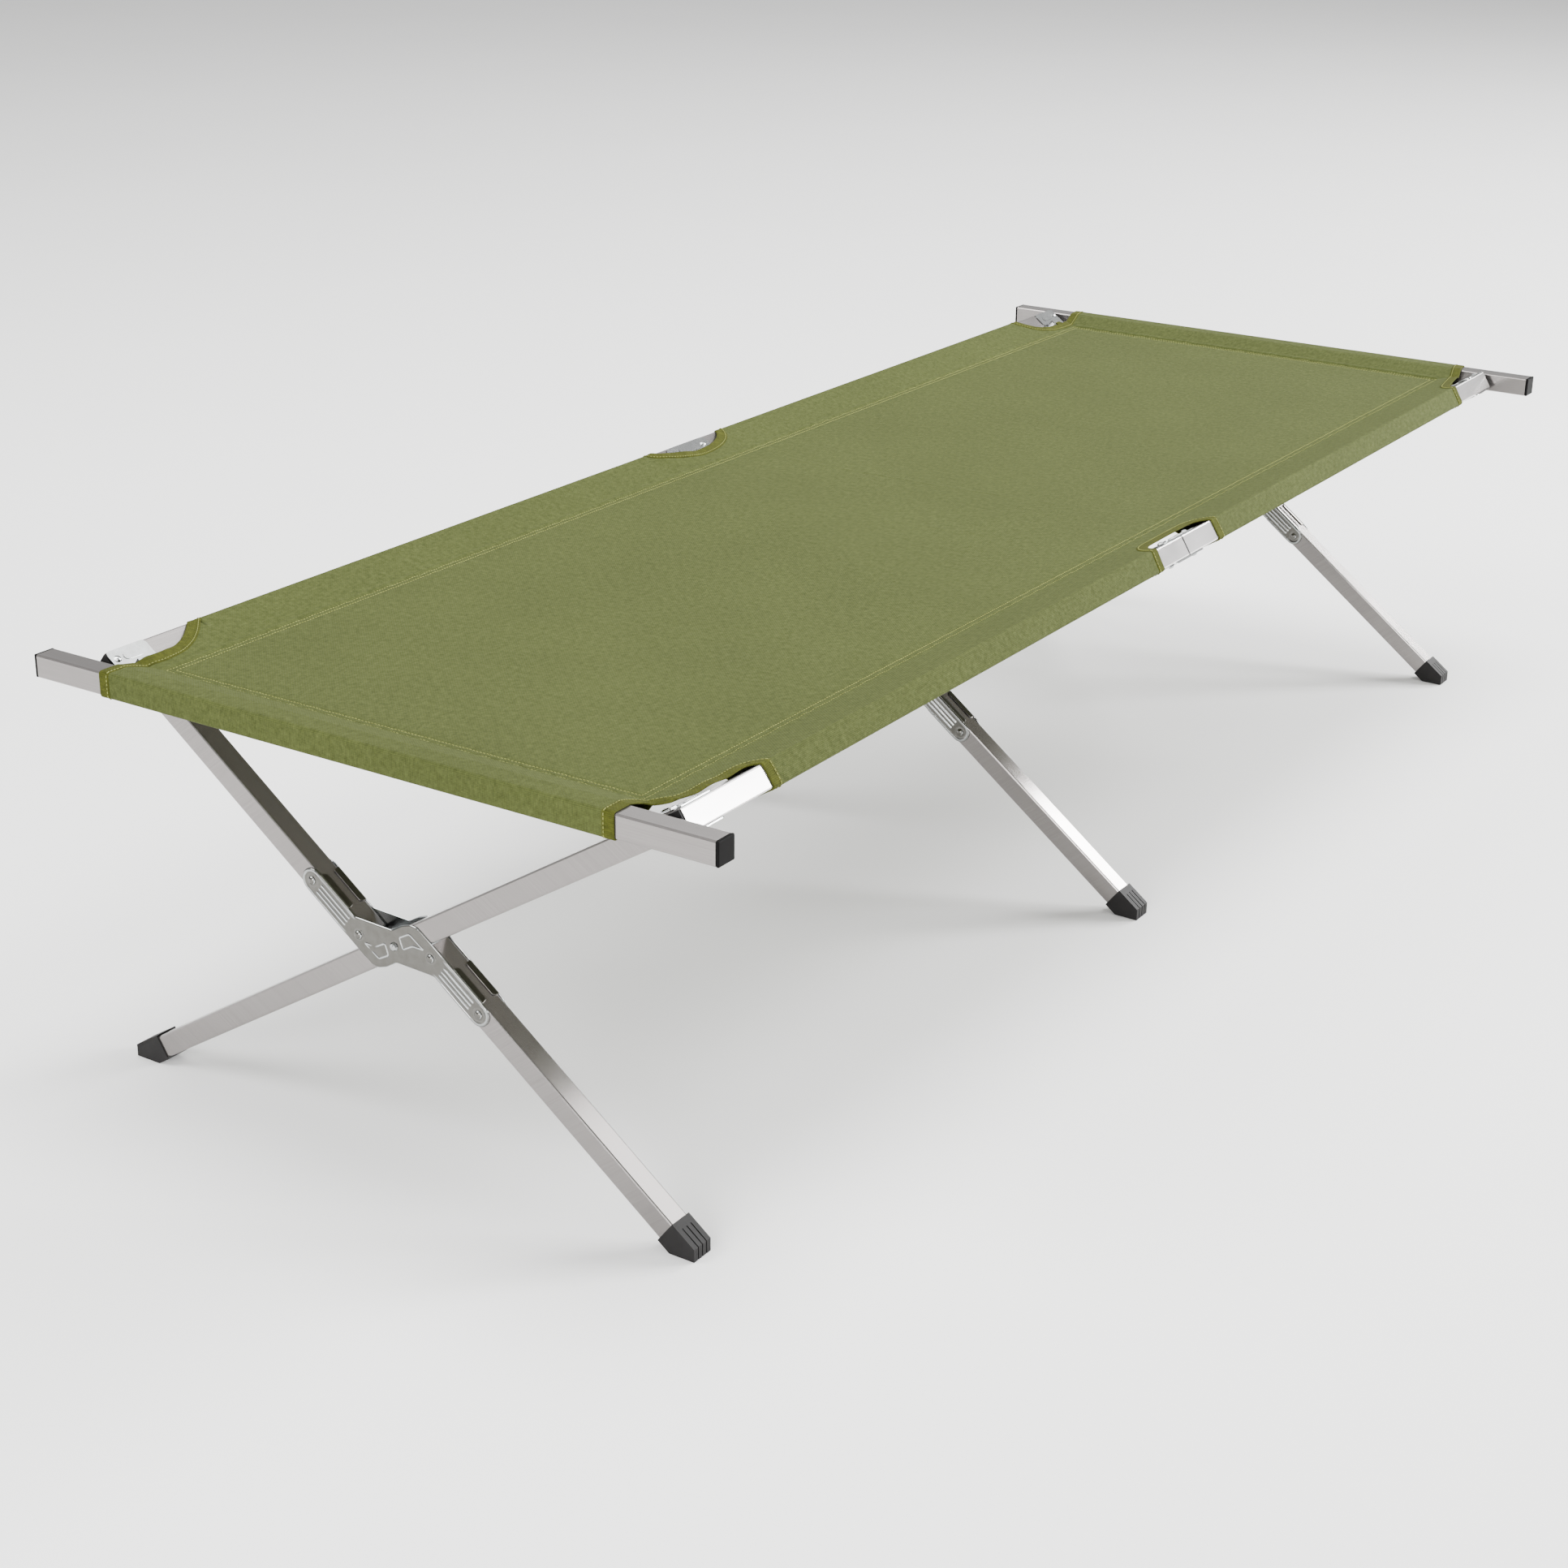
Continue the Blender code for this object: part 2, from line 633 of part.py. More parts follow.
def end_stud(name, side, rail_x, rail_z, direction):
    """Return the plastic stud in a rail end: a body in the bore, a collar, and a domed nose for the bar."""
    x = direction * rail_x
    body_half = TUBE_BORE / 2 - PRESS
    collar_half = STUD_COLLAR_SIZE / 2

    def block(half, y_low, y_high):
        low, high = sorted((side * y_low, side * y_high))
        return box_mesh((x - half, low, rail_z - half), (x + half, high, rail_z + half))

    collar_start = RAIL_END_Y + GAP
    collar_end = collar_start + STUD_COLLAR
    mesh = block(body_half, RAIL_END_Y - STUD_BODY_LENGTH, collar_start + STUD_COLLAR / 2)
    mesh = apply_boolean(mesh, block(collar_half, collar_start, collar_end), "UNION")
    tip = BAR_INNER_Y + STUD_INSERTION
    end = dome(STUD_NOSE_RADIUS, STUD_NOSE_RADIUS, tip - STUD_NOSE_RADIUS, 3)
    nose = turned_mesh([*end, (STUD_NOSE_RADIUS, collar_start), (0.0, collar_start)], STUD_SIDES)
    nose.transform(Matrix.Translation((x, 0.0, rail_z)) @ Matrix.Rotation(-QUARTER * side, 4, "X"))
    mesh = apply_boolean(mesh, nose, "UNION")
    piece = new_object(name, mesh)
    rivet_y = side * (RAIL_END_Y - RAIL_END_RIVET_SETBACK)
    cut(piece, hole_rods(RIVET_RADIUS, 2 * TUBE, [(x, rivet_y, rail_z)], "Z"))
    return piece


def joint_outline():
    """Return the outline of a leg plate: two offset arms with round ends, joined across the axis.

    The half below is repeated turned by half a turn, because the plate is the same either way up.
    """
    arm, half = HALF_LEG_OFFSET, JOINT_ARM_HALF_WIDTH
    end = arc((JOINT_OUTER_RIVET, arm), JOINT_ARM_END_RADIUS, 80, -80)
    points = [(-JOINT_NECK[0], JOINT_NECK[1]), (-JOINT_SHOULDER_NECK[0], JOINT_SHOULDER_NECK[1]),
              (0.0, JOINT_SHOULDER), (JOINT_SHOULDER_NECK[0], arm + half), *end, (JOINT_ARM_ROOT, arm - half)]
    return points + [(-x, -z) for x, z in points]


def joint_plate(name, y, face):
    """Return a stamped plate on one side of a leg set, with side tabs, ribs and raised panels.

    Each arm wraps its half leg with two folded tabs and is stiffened by a long rib. Raised panels stand on
    both sides of the axis. Everything is one pressing, so the forms are joined into one solid. The front
    plate carries the rivets, which run through the half legs and through the rear plate.
    """
    seat = HALF_TUBE + GAP
    place_y = y + face * (seat + JOINT_SHEET / 2)
    mesh = sheet_plate([joint_outline()], "Y", place_y, JOINT_SHEET)
    for turn in (1, -1):
        arm = turn * HALF_LEG_OFFSET
        x_low, x_high = sorted((turn * JOINT_TAB_START, turn * JOINT_TAB_END))
        for side in (-1, 1):
            z_low, z_high = sorted((arm + side * seat, arm + side * (seat + JOINT_SHEET)))
            outer_y = place_y + face * JOINT_SHEET / 2
            y_low, y_high = sorted((outer_y, outer_y - face * JOINT_TAB_DEPTH))
            mesh = apply_boolean(mesh, box_mesh((x_low, y_low, z_low), (x_high, y_high, z_high)), "UNION")
        half_straight = (JOINT_RIB_END - JOINT_RIB_START) / 2 - JOINT_RIB_RADIUS
        rib_centre = (arm, turn * (JOINT_RIB_START + JOINT_RIB_END) / 2)
        rib = swapped(stadium(half_straight, JOINT_RIB_RADIUS, rib_centre, 3))
        panel = [(turn * x, turn * z) for x, z in JOINT_PANEL]
        for outline in (rib, panel):
            raised = sheet_plate([outline], "Y", place_y + face * JOINT_EMBOSS, JOINT_SHEET)
            mesh = apply_boolean(mesh, raised, "UNION")
    rivets = joint_rivet_places()
    if face < 0:
        reach = seat + JOINT_SHEET
        rivet = rivet_mesh(reach - BITE, -reach - GAP)
        turn = Matrix.Rotation(QUARTER, 4, "X")
        mesh = united(mesh, [placed(rivet, (x, y, z), turn) for x, z in rivets])
    piece = new_object(name, mesh)
    holes = [hole_rods(AXLE_RADIUS, HALF_TUBE, [(0.0, place_y, 0.0)], "Y")]
    if face > 0:
        holes.append(hole_rods(RIVET_RADIUS, HALF_TUBE, [(x, place_y, z) for x, z in rivets], "Y"))
    cut(piece, joined(holes))
    return piece


def joint_rivet_places():
    """Return where the four rivets of a leg plate stand, along and across the leg."""
    places = []
    for turn in (1, -1):
        places += [(turn * x, turn * HALF_LEG_OFFSET) for x in (JOINT_INNER_RIVET, JOINT_OUTER_RIVET)]
    return places


def scissor_axle(name, y):
    """Return the rivet that a long leg and a split leg turn on, from front to back through both plates."""
    reach = HALF_TUBE + GAP + JOINT_SHEET + GAP
    axle = rivet_mesh(reach, -reach, (AXLE_RADIUS, AXLE_HEAD_RADIUS, RIVET_HEAD))
    return new_object(name, placed(axle, (0.0, y, 0.0), Matrix.Rotation(QUARTER, 4, "X")))


def end_bar(name, side):
    """Return an end bar: a tube along X, with a round hole in its inner wall for each rail's stud."""
    half = BAR_LENGTH / 2 - PLUG_FACE
    piece = square_tube(name, "X", -half, half)
    places = [(x, -side * HALF_TUBE, 0.0) for x in (-RAIL_HALF_SPAN, RAIL_HALF_SPAN)]
    rod = rod_mesh(STUD_HOLE_RADIUS, -HALF_TUBE / 2, HALF_TUBE / 2, STUD_SIDES)
    cut(piece, repeated(rod, [Matrix.Translation(place) @ ROD_TURNS["Y"] for place in places]))
    return piece


def bar_plug(name, side):
    """Return the plastic plug in one end of a bar: a face with eased edges on a spigot."""
    spigot = TUBE_BORE / 2 - PRESS
    outer = BAR_LENGTH / 2
    seat = outer - PLUG_FACE + GAP
    low, high = sorted((side * seat, side * outer))
    face = bmesh.new()
    face.from_mesh(box_mesh((low, -HALF_TUBE, -HALF_TUBE), (high, HALF_TUBE, HALF_TUBE)))
    bmesh.ops.bevel(face, geom=face.edges, offset=PLUG_EDGE, segments=2, profile=0.5, affect="EDGES")
    mesh = bpy.data.meshes.new("plug")
    face.to_mesh(mesh)
    face.free()
    low, high = sorted((side * (seat - PLUG_SPIGOT), side * (seat + PLUG_FACE / 2)))
    inner = box_mesh((low, -spigot, -spigot), (high, spigot, spigot))
    return new_object(name, united(mesh, [inner]))


def ribbon(path, width):
    """Return the closed outline of a strip of one width that follows a path of corners."""
    sides = ([], [])
    for i, (x, z) in enumerate(path):
        ways = [Vector((q[0] - p[0], q[1] - p[1])).normalized() for p, q in zip(path, path[1:])]
        before, after = ways[max(i - 1, 0)], ways[min(i, len(ways) - 1)]
        middle = (before + after).normalized()
        reach = width / 2 / middle.dot(after)
        for side, row in zip((1, -1), sides):
            row.append((x - side * middle.y * reach, z + side * middle.x * reach))
    return sides[0] + sides[1][::-1]


def canvas():
    """Return the lying surface: a sheet taut between its seams, which rises to the rails and the end bars.

    Its cross section lies flat at mid height between the side seams and climbs over the rails. At each end
    a loop leaves the sheet at its seam, goes over and round the bar and comes back to the sheet from below.
    Then the corners and the waists over the rail joints are cut away.
    """
    level, crest = RAIL_HEIGHT + SHEET_LIFT, SHEET_UNDER + CLOTH / 2
    edge, seam_y = RAIL_HALF_SPAN + CANVAS_OVERHANG, BED_END - END_SEAM_SETBACK
    section = [(edge, crest), (edge - CANVAS_CREST, crest), (RAIL_HALF_SPAN - RAIL_SEAM_INSET, level)]
    across = ribbon(section + [(-x, z) for x, z in reversed(section)], CLOTH)
    tongue = seam_y + END_SEAM_TONGUE
    mesh = slab([across], "Y", -tongue, tongue)
    wrap = HALF_TUBE + CLOTH_GAP + CLOTH / 2
    low, high = RAIL_HEIGHT - wrap, RAIL_HEIGHT + wrap
    inner_y, outer_y = BAR_INNER_Y + HALF_TUBE - wrap, BAR_INNER_Y + HALF_TUBE + wrap
    loop = [(seam_y + END_LOOP_START, level), (inner_y, high), (outer_y, high), (outer_y, low),
            (inner_y, low), (tongue - END_SEAM_TUCK, level)]
    sleeve_end = RAIL_HALF_SPAN - END_SLEEVE_INSET
    for side in (-1, 1):
        outline = ribbon([(side * y, z) for y, z in loop], CLOTH)
        mesh = apply_boolean(mesh, slab([outline], "X", -sleeve_end, sleeve_end), "UNION")
    piece = new_object("canvas", mesh)
    far_x, far_y = RAIL_HALF_SPAN + TUBE, BED_END + TUBE
    round_at = (RAIL_HALF_SPAN - CORNER_CUT_INSET + CORNER_CUT_ROUND, CORNER_CUT_Y + CORNER_CUT_ROUND)
    corner = [(sleeve_end, far_y), (sleeve_end, CORNER_CUT_Y + CORNER_CUT_NECK),
              *arc(round_at, CORNER_CUT_ROUND, 180, 270, 4), (far_x, CORNER_CUT_Y), (far_x, far_y)]
    waist = [(edge - MID_CUT_DEPTH * max(math.cos(math.radians(t)), 0.0) ** MID_CUT_SQUARENESS,
              MID_CUT_Y + MID_CUT_HALF_LENGTH * math.sin(math.radians(t))) for t in (-90, -86, -75, -55, -30, 0, 30, 55, 75, 86, 90)]
    waist += [(far_x, MID_CUT_Y + MID_CUT_HALF_LENGTH), (far_x, MID_CUT_Y - MID_CUT_HALF_LENGTH)]
    outlines = []
    for x_side in (-1, 1):
        outlines.append([(x_side * x, y) for x, y in waist])
        for y_side in (-1, 1):
            outlines.append([(x_side * x, y_side * y) for x, y in corner])
    cut(piece, slab(outlines, "Z", RAIL_HEIGHT - 2 * TUBE, RAIL_HEIGHT + 2 * TUBE))
    return piece


def rail_sleeve(name, frame, rail_x, rail_z, direction, start, end):
    """Return one length of the canvas hem round a rail.

    Its path starts at the sheet over the rail's outer face, goes under the rail and rises to the seam
    under the sheet.
    """
    wrap = HALF_TUBE + CLOTH_GAP + CLOTH / 2
    edge_height = SHEET_UNDER - GAP - CLOTH / 2
    seam_height = RAIL_HEIGHT + SHEET_LIFT - CLOTH - GAP
    seam = frame.local((direction * (RAIL_HALF_SPAN - RAIL_SEAM_INSET), 0.0, seam_height))
    rise, lift = direction * frame.matrix[2][0], frame.matrix[2][2]
    outer_top = (edge_height - PIVOT_HEIGHT - rise * (rail_x + wrap)) / lift
    path = [(rail_x + wrap, outer_top), (rail_x + wrap, rail_z - wrap),
            (rail_x - wrap, rail_z - wrap), (rail_x - wrap, rail_z + wrap), (direction * seam.x, seam.z)]
    shape = bmesh.new()
    points = [shape.verts.new((direction * x, start, z)) for x, z in path]
    edges = [shape.edges.new(pair) for pair in zip(points, points[1:])]
    drawn = bmesh.ops.extrude_edge_only(shape, edges=edges)["geom"]
    moved = [item for item in drawn if isinstance(item, bmesh.types.BMVert)]
    bmesh.ops.translate(shape, verts=moved, vec=(0.0, end - start, 0.0))
    bmesh.ops.recalc_face_normals(shape, faces=shape.faces)
    mesh = bpy.data.meshes.new(name)
    shape.to_mesh(mesh)
    shape.free()
    piece = new_object(name, mesh)
    wall = piece.modifiers.new("wall", "SOLIDIFY")
    wall.thickness = CLOTH
    wall.offset = 0.0
    wall.use_even_offset = True
    return piece


def build_rail_side(frame, label, rail_x, rail_z, leg_z, direction):
    """Build a rail with its straps, plates, studs, brackets and sleeves."""
    sleeves = {"near": (-CORNER_CUT_Y, MID_CUT_Y - MID_CUT_HALF_LENGTH),
               "far": (MID_CUT_Y + MID_CUT_HALF_LENGTH, CORNER_CUT_Y)}
    at = (rail_x, rail_z, direction)
    for end, side in SIDES.items():
        frame.add(rail(f"rail_{label}_{end}", side, *at), "aluminium")
        frame.add(end_plates(f"end_plates_{label}_{end}", side, *at), "zinc")
        frame.add(end_stud(f"end_stud_{label}_{end}", side, *at), "plastic")
        frame.add(rail_sleeve(f"rail_sleeve_{label}_{end}", frame, *at, *sleeves[end]), "canvas")
    for face, where in ((1, "upper"), (-1, "lower")):
        frame.add(rail_strap(f"rail_strap_{label}_{where}", *at, face), "zinc")
    for place, y in LEG_SET_Y.items():
        frame.add(bracket(f"leg_bracket_{label}_{place}", rail_x, rail_z, leg_z, direction, y), "zinc")


def build_right_frame():
    """Build the right rail and the three long legs, each one straight tube through the axis."""
    frame = Frame("right_frame", (0.0, 0.0, PIVOT_HEIGHT), -LONG_LEG_ANGLE)
    rail_at = frame.local((RAIL_HALF_SPAN, 0.0, RAIL_HEIGHT))
    build_rail_side(frame, "right", rail_at.x, rail_at.z, 0.0, 1)
    pin_x = rail_at.x - LEG_PIN_SETBACK
    tube_end = foot_stations(LONG_LEG_ANGLE, 0.0)["tube_end"]
    top = pin_x + LEG_TOP_OVERRUN
    for place, y in LEG_SET_Y.items():
        leg = leg_tube(f"long_leg_{place}", -tube_end, top, 0.0, y, pin_x, [0.0], AXLE_RADIUS)
        frame.add(leg, "aluminium")
        frame.add(foot(f"foot_left_{place}", LONG_LEG_ANGLE, 0.0, -1, y), "plastic")
    return frame


def build_left_frame():
    """Build the left rail and the three split legs, with the plates and rivets that join their halves."""
    frame = Frame("left_frame", (0.0, 0.0, PIVOT_HEIGHT), SPLIT_LEG_ANGLE)
    rail_at = frame.local((-RAIL_HALF_SPAN, 0.0, RAIL_HEIGHT))
    build_rail_side(frame, "left", -rail_at.x, rail_at.z, -HALF_LEG_OFFSET, -1)
    pin_x = rail_at.x + LEG_PIN_SETBACK
    tube_end = foot_stations(SPLIT_LEG_ANGLE, HALF_LEG_OFFSET)["tube_end"]
    top = pin_x - LEG_TOP_OVERRUN
    rivets = (JOINT_INNER_RIVET, JOINT_OUTER_RIVET)
    for place, y in LEG_SET_Y.items():
        upper = leg_tube(f"split_leg_upper_{place}", top, -HALF_LEG_STOP, -HALF_LEG_OFFSET, y, pin_x,
                         [-x for x in rivets], RIVET_RADIUS)
        lower = leg_tube(f"split_leg_lower_{place}", HALF_LEG_STOP, tube_end, HALF_LEG_OFFSET, y, None,
                         rivets, RIVET_RADIUS)
        for leg in (upper, lower):
            frame.add(leg, "aluminium")
        for face, where in ((-1, "front"), (1, "rear")):
            frame.add(joint_plate(f"joint_plate_{where}_{place}", y, face), "zinc")
        frame.add(scissor_axle(f"scissor_axle_{place}", y), "zinc")
        frame.add(foot(f"foot_right_{place}", SPLIT_LEG_ANGLE, HALF_LEG_OFFSET, 1, y), "plastic")
    return frame


def build_end_bars():
    """Build both end bars with their plugs, each on its own empty at the bar's middle."""
    for end, side in SIDES.items():
        frame = Frame(f"{end}_bar", (0.0, side * BAR_Y, RAIL_HEIGHT))
        frame.add(end_bar(f"end_bar_{end}", side), "aluminium")
        for hand, plug_side in (("left", -1), ("right", 1)):
            frame.add(bar_plug(f"bar_plug_{end}_{hand}", plug_side), "plastic")


def main():
    """Build the whole bed."""
    clear_scene()
    build_right_frame()
    build_left_frame()
    build_end_bars()
    sheet = canvas()
    sheet.data.materials.append(FINISHES["canvas"])


main()
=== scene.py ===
"""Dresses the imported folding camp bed: a canvas sheet stretched over an aluminium scissor frame.

The CAD solids keep their shapes and get their metals and plastic here. The cloth is new: one
sheet worked out on its flat cut, which a map wraps round the side rails and the end bars, with
its binding tape, hems and stitches laid on the same map, so they stay on the cloth everywhere.
Lengths are in metres. The frame of reference is the CAD's: floor at z = 0, bed along Y.
"""
from __future__ import annotations

import logging
import math
from dataclasses import dataclass, field
from enum import Enum
from typing import Any

import bpy
import numpy as np
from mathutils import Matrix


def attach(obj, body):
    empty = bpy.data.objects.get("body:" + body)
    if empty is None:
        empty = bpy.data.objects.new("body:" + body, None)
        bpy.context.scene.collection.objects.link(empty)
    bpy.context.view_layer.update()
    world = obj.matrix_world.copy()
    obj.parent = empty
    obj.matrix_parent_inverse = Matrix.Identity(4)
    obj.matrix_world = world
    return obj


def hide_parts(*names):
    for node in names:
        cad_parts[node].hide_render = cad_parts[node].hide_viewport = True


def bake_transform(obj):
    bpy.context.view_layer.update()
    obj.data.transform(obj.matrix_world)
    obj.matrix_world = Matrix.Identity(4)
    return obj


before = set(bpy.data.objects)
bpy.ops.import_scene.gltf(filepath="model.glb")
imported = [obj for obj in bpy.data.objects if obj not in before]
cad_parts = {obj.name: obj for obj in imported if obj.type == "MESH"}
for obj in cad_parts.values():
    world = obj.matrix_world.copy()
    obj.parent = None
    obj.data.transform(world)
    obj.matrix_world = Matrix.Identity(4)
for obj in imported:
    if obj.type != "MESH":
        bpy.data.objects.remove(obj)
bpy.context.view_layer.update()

log = logging.getLogger("camp_bed")
MM = 0.001
Array = np.ndarray
Socket = bpy.types.NodeSocket
Links = dict[int | str, Any]
Place = tuple[float, float, float]      # three numbers, mostly a point in the room


# Materials

def linear(hex_colour: str) -> tuple[float, float, float, float]:
    """Turns an sRGB hex colour into Blender's linear RGBA.

    Args:
        hex_colour: six hex digits after a hash sign.

    Returns:
        Red, green, blue and an alpha of one.
    """
    parts = [int(hex_colour[i:i + 2], 16) / 255 for i in (1, 3, 5)]
    r, g, b = (c / 12.92 if c <= 0.04045 else ((c + 0.055) / 1.055) ** 2.4 for c in parts)
    return r, g, b, 1.0


class Recipe:
    """A material being built, with its node tree."""

    def __init__(self, name: str) -> None:
        """Starts a new material.

        Args:
            name: the material's name.
        """
        self.material = bpy.data.materials.new(name)
        self.material.use_nodes = True
        self.tree = self.material.node_tree

    def feed(self, node: bpy.types.Node, links: Links) -> None:
        """Gives a node's inputs what feeds them.

        Args:
            node: the node.
            links: input name or number to a socket that feeds it or a constant.
        """
        for key, value in links.items():
            if isinstance(value, Socket):
                self.tree.links.new(value, node.inputs[key])
            else:
                node.inputs[key].default_value = value

    def add(self, kind: str, links: Links | None = None, out: int | str = 0,
            **settings: Any) -> Socket:
        """Adds one node with its settings, its constants and what feeds it.

        Args:
            kind: the node's type name without the words ShaderNode.
            links: input name or number to a socket that feeds it or a constant.
            out: name or number of the output that is wanted.
            settings: the node's own properties.

        Returns:
            That output.
        """
        node = self.tree.nodes.new("ShaderNode" + kind)
        for name, value in settings.items():
            setattr(node, name, value)
        self.feed(node, links or {})
        return node.outputs[out]

    def finish(self, links: Links) -> bpy.types.Material:
        """Feeds the surface shader and hands over the finished material."""
        self.feed(self.tree.nodes["Principled BSDF"], links)
        return self.material


class Along(Enum):
    """The way a drawn tube runs, as a turn of its finish's pattern about Y and Z, in degrees."""

    WIDTH = (0.0, 0.0)
    LENGTH = (0.0, 90.0)
    LONG_LEG = (-32.0, 0.0)
    SPLIT_LEG = (37.2, 0.0)


@dataclass(frozen=True)
class SatinAluminium:
    """Extruded square tube of aluminium, brushed along its length and clear anodised.

    It gives the eye a soft grey sheen with hair-fine lines along the tube.
    """

    along: Along
    colour: str = "#938f8d"
    shade: str = "#767270"
    roughness: tuple[float, float] = (0.17, 0.29)
    metallic: float = 0.85
    line_width: float = 0.9 * MM      # real lines are near 0.1 mm, drawn coarser so that they show
    line_length: float = 90 * MM
    line_depth: float = 0.1 * MM
    bump: float = 0.12
    cloud_size: float = 71.4 * MM

    def make(self) -> bpy.types.Material:
        """Builds the material.

        Returns:
            The new material.
        """
        way = self.along.name.lower()
        recipe = Recipe(f"satin_aluminium_{way}{self.colour.replace('#', '_')}")
        place = recipe.add("TexCoord", out="Object")
        turn_y, turn_z = (math.radians(a) for a in self.along.value)
        turned = recipe.add("Mapping", {"Vector": place, "Rotation": (0, 0, -turn_z)})
        turned = recipe.add("Mapping", {"Vector": turned, "Rotation": (0, turn_y, 0)})
        fine = (1 / self.line_length, 1 / self.line_width, 1 / self.line_width)
        lines = recipe.add("Mapping", {"Vector": turned, "Scale": fine})
        grain = recipe.add("TexNoise", {"Vector": lines, "Scale": 1.0, "Detail": 3.0,
                                        "Roughness": 0.6})
        cloud = recipe.add("TexNoise", {"Vector": place, "Scale": 1 / self.cloud_size})
        tone = recipe.add("Mix", {0: grain, 6: linear(self.shade), 7: linear(self.colour)}, 2,
                          data_type="RGBA")
        dull = recipe.add("MapRange", {"Value": cloud, "To Min": self.roughness[0],
                                       "To Max": self.roughness[1]})
        lift = recipe.add("Bump", {"Height": grain, "Strength": self.bump,
                                   "Distance": self.line_depth})
        return recipe.finish({"Base Color": tone, "Roughness": dull, "Normal": lift,
                              "Metallic": self.metallic})


@dataclass(frozen=True)
class ZincPlate:
    """Pressed steel sheet, zinc plated: glossy grey with a faint cloudy bloom.

    Where a point attribute called raised says so, a paler colour is mixed in as a painted
    highlight: on the slopes of beads, ribs, rings and rims. A piece without the attribute gets no
    painted highlight.
    """

    name: str = "bright_zinc_plate"
    colour: str = "#b4b7b8"
    # paler colour painted on as a highlight where the raised attribute marks the slopes
    bloom: str = "#949592"
    painted_highlight: str = "#c6cacb"
    roughness: tuple[float, float] = (0.27, 0.13)
    cloud_size: float = 9 * MM
    grit_size: float = 1.11 * MM      # real crystals are near 0.1 mm, drawn coarser to show
    grit_depth: float = 0.1 * MM
    bump: float = 0.06

    def make(self) -> bpy.types.Material:
        """Builds the material.

        Returns:
            The new material.
        """
        recipe = Recipe(self.name)
        place = recipe.add("TexCoord", out="Object")
        cloud = recipe.add("TexNoise", {"Vector": place, "Scale": 1 / self.cloud_size,
                                        "Detail": 4.0, "Roughness": 0.55})
        grit = recipe.add("TexNoise", {"Vector": place, "Scale": 1 / self.grit_size, "Detail": 1.0})
        tone = recipe.add("Mix", {0: cloud, 6: linear(self.bloom), 7: linear(self.colour)}, 2,
                          data_type="RGBA")
        # painted highlight: the paler colour is mixed in on the slopes that the raised attribute
        # marks
        raised = recipe.add("Attribute", out="Fac", attribute_name="raised")
        tone = recipe.add("Mix", {0: raised, 6: tone, 7: linear(self.painted_highlight)}, 2,
                          data_type="RGBA")
        dull = recipe.add("MapRange", {"Value": cloud, "To Min": self.roughness[0],
                                       "To Max": self.roughness[1]})
        lift = recipe.add("Bump", {"Height": grit, "Strength": self.bump,
                                   "Distance": self.grit_depth})
        return recipe.finish({"Base Color": tone, "Roughness": dull, "Normal": lift,
                              "Metallic": 1.0})


@dataclass(frozen=True)
class MouldedPlastic:
    """Injection moulded black polyethylene: charcoal, fine spark-eroded grain, dull gloss."""

    name: str = "moulded_black_plastic"
    colour: str = "#151414"
    worn: str = "#1f1e1e"
    gloss: float = 0.13
    roughness: float = 0.5
    grain_size: float = 0.8 * MM      # real sparks leave pits near 0.05 mm, drawn coarser to show
    grain_depth: float = 0.15 * MM
    bump: float = 0.25
    cloud_size: float = 16.7 * MM

    def make(self) -> bpy.types.Material:
        """Builds the material.

        Returns:
            The new material.
        """
        recipe = Recipe(self.name)
        place = recipe.add("TexCoord", out="Object")
        grain = recipe.add("TexNoise", {"Vector": place, "Scale": 1 / self.grain_size})
        cloud = recipe.add("TexNoise", {"Vector": place, "Scale": 1 / self.cloud_size})
        tone = recipe.add("Mix", {0: cloud, 6: linear(self.colour), 7: linear(self.worn)}, 2,
                          data_type="RGBA")
        lift = recipe.add("Bump", {"Height": grain, "Strength": self.bump,
                                   "Distance": self.grain_depth})
        return recipe.finish({"Base Color": tone, "Normal": lift, "Roughness": self.roughness,
                              "Specular IOR Level": self.gloss})


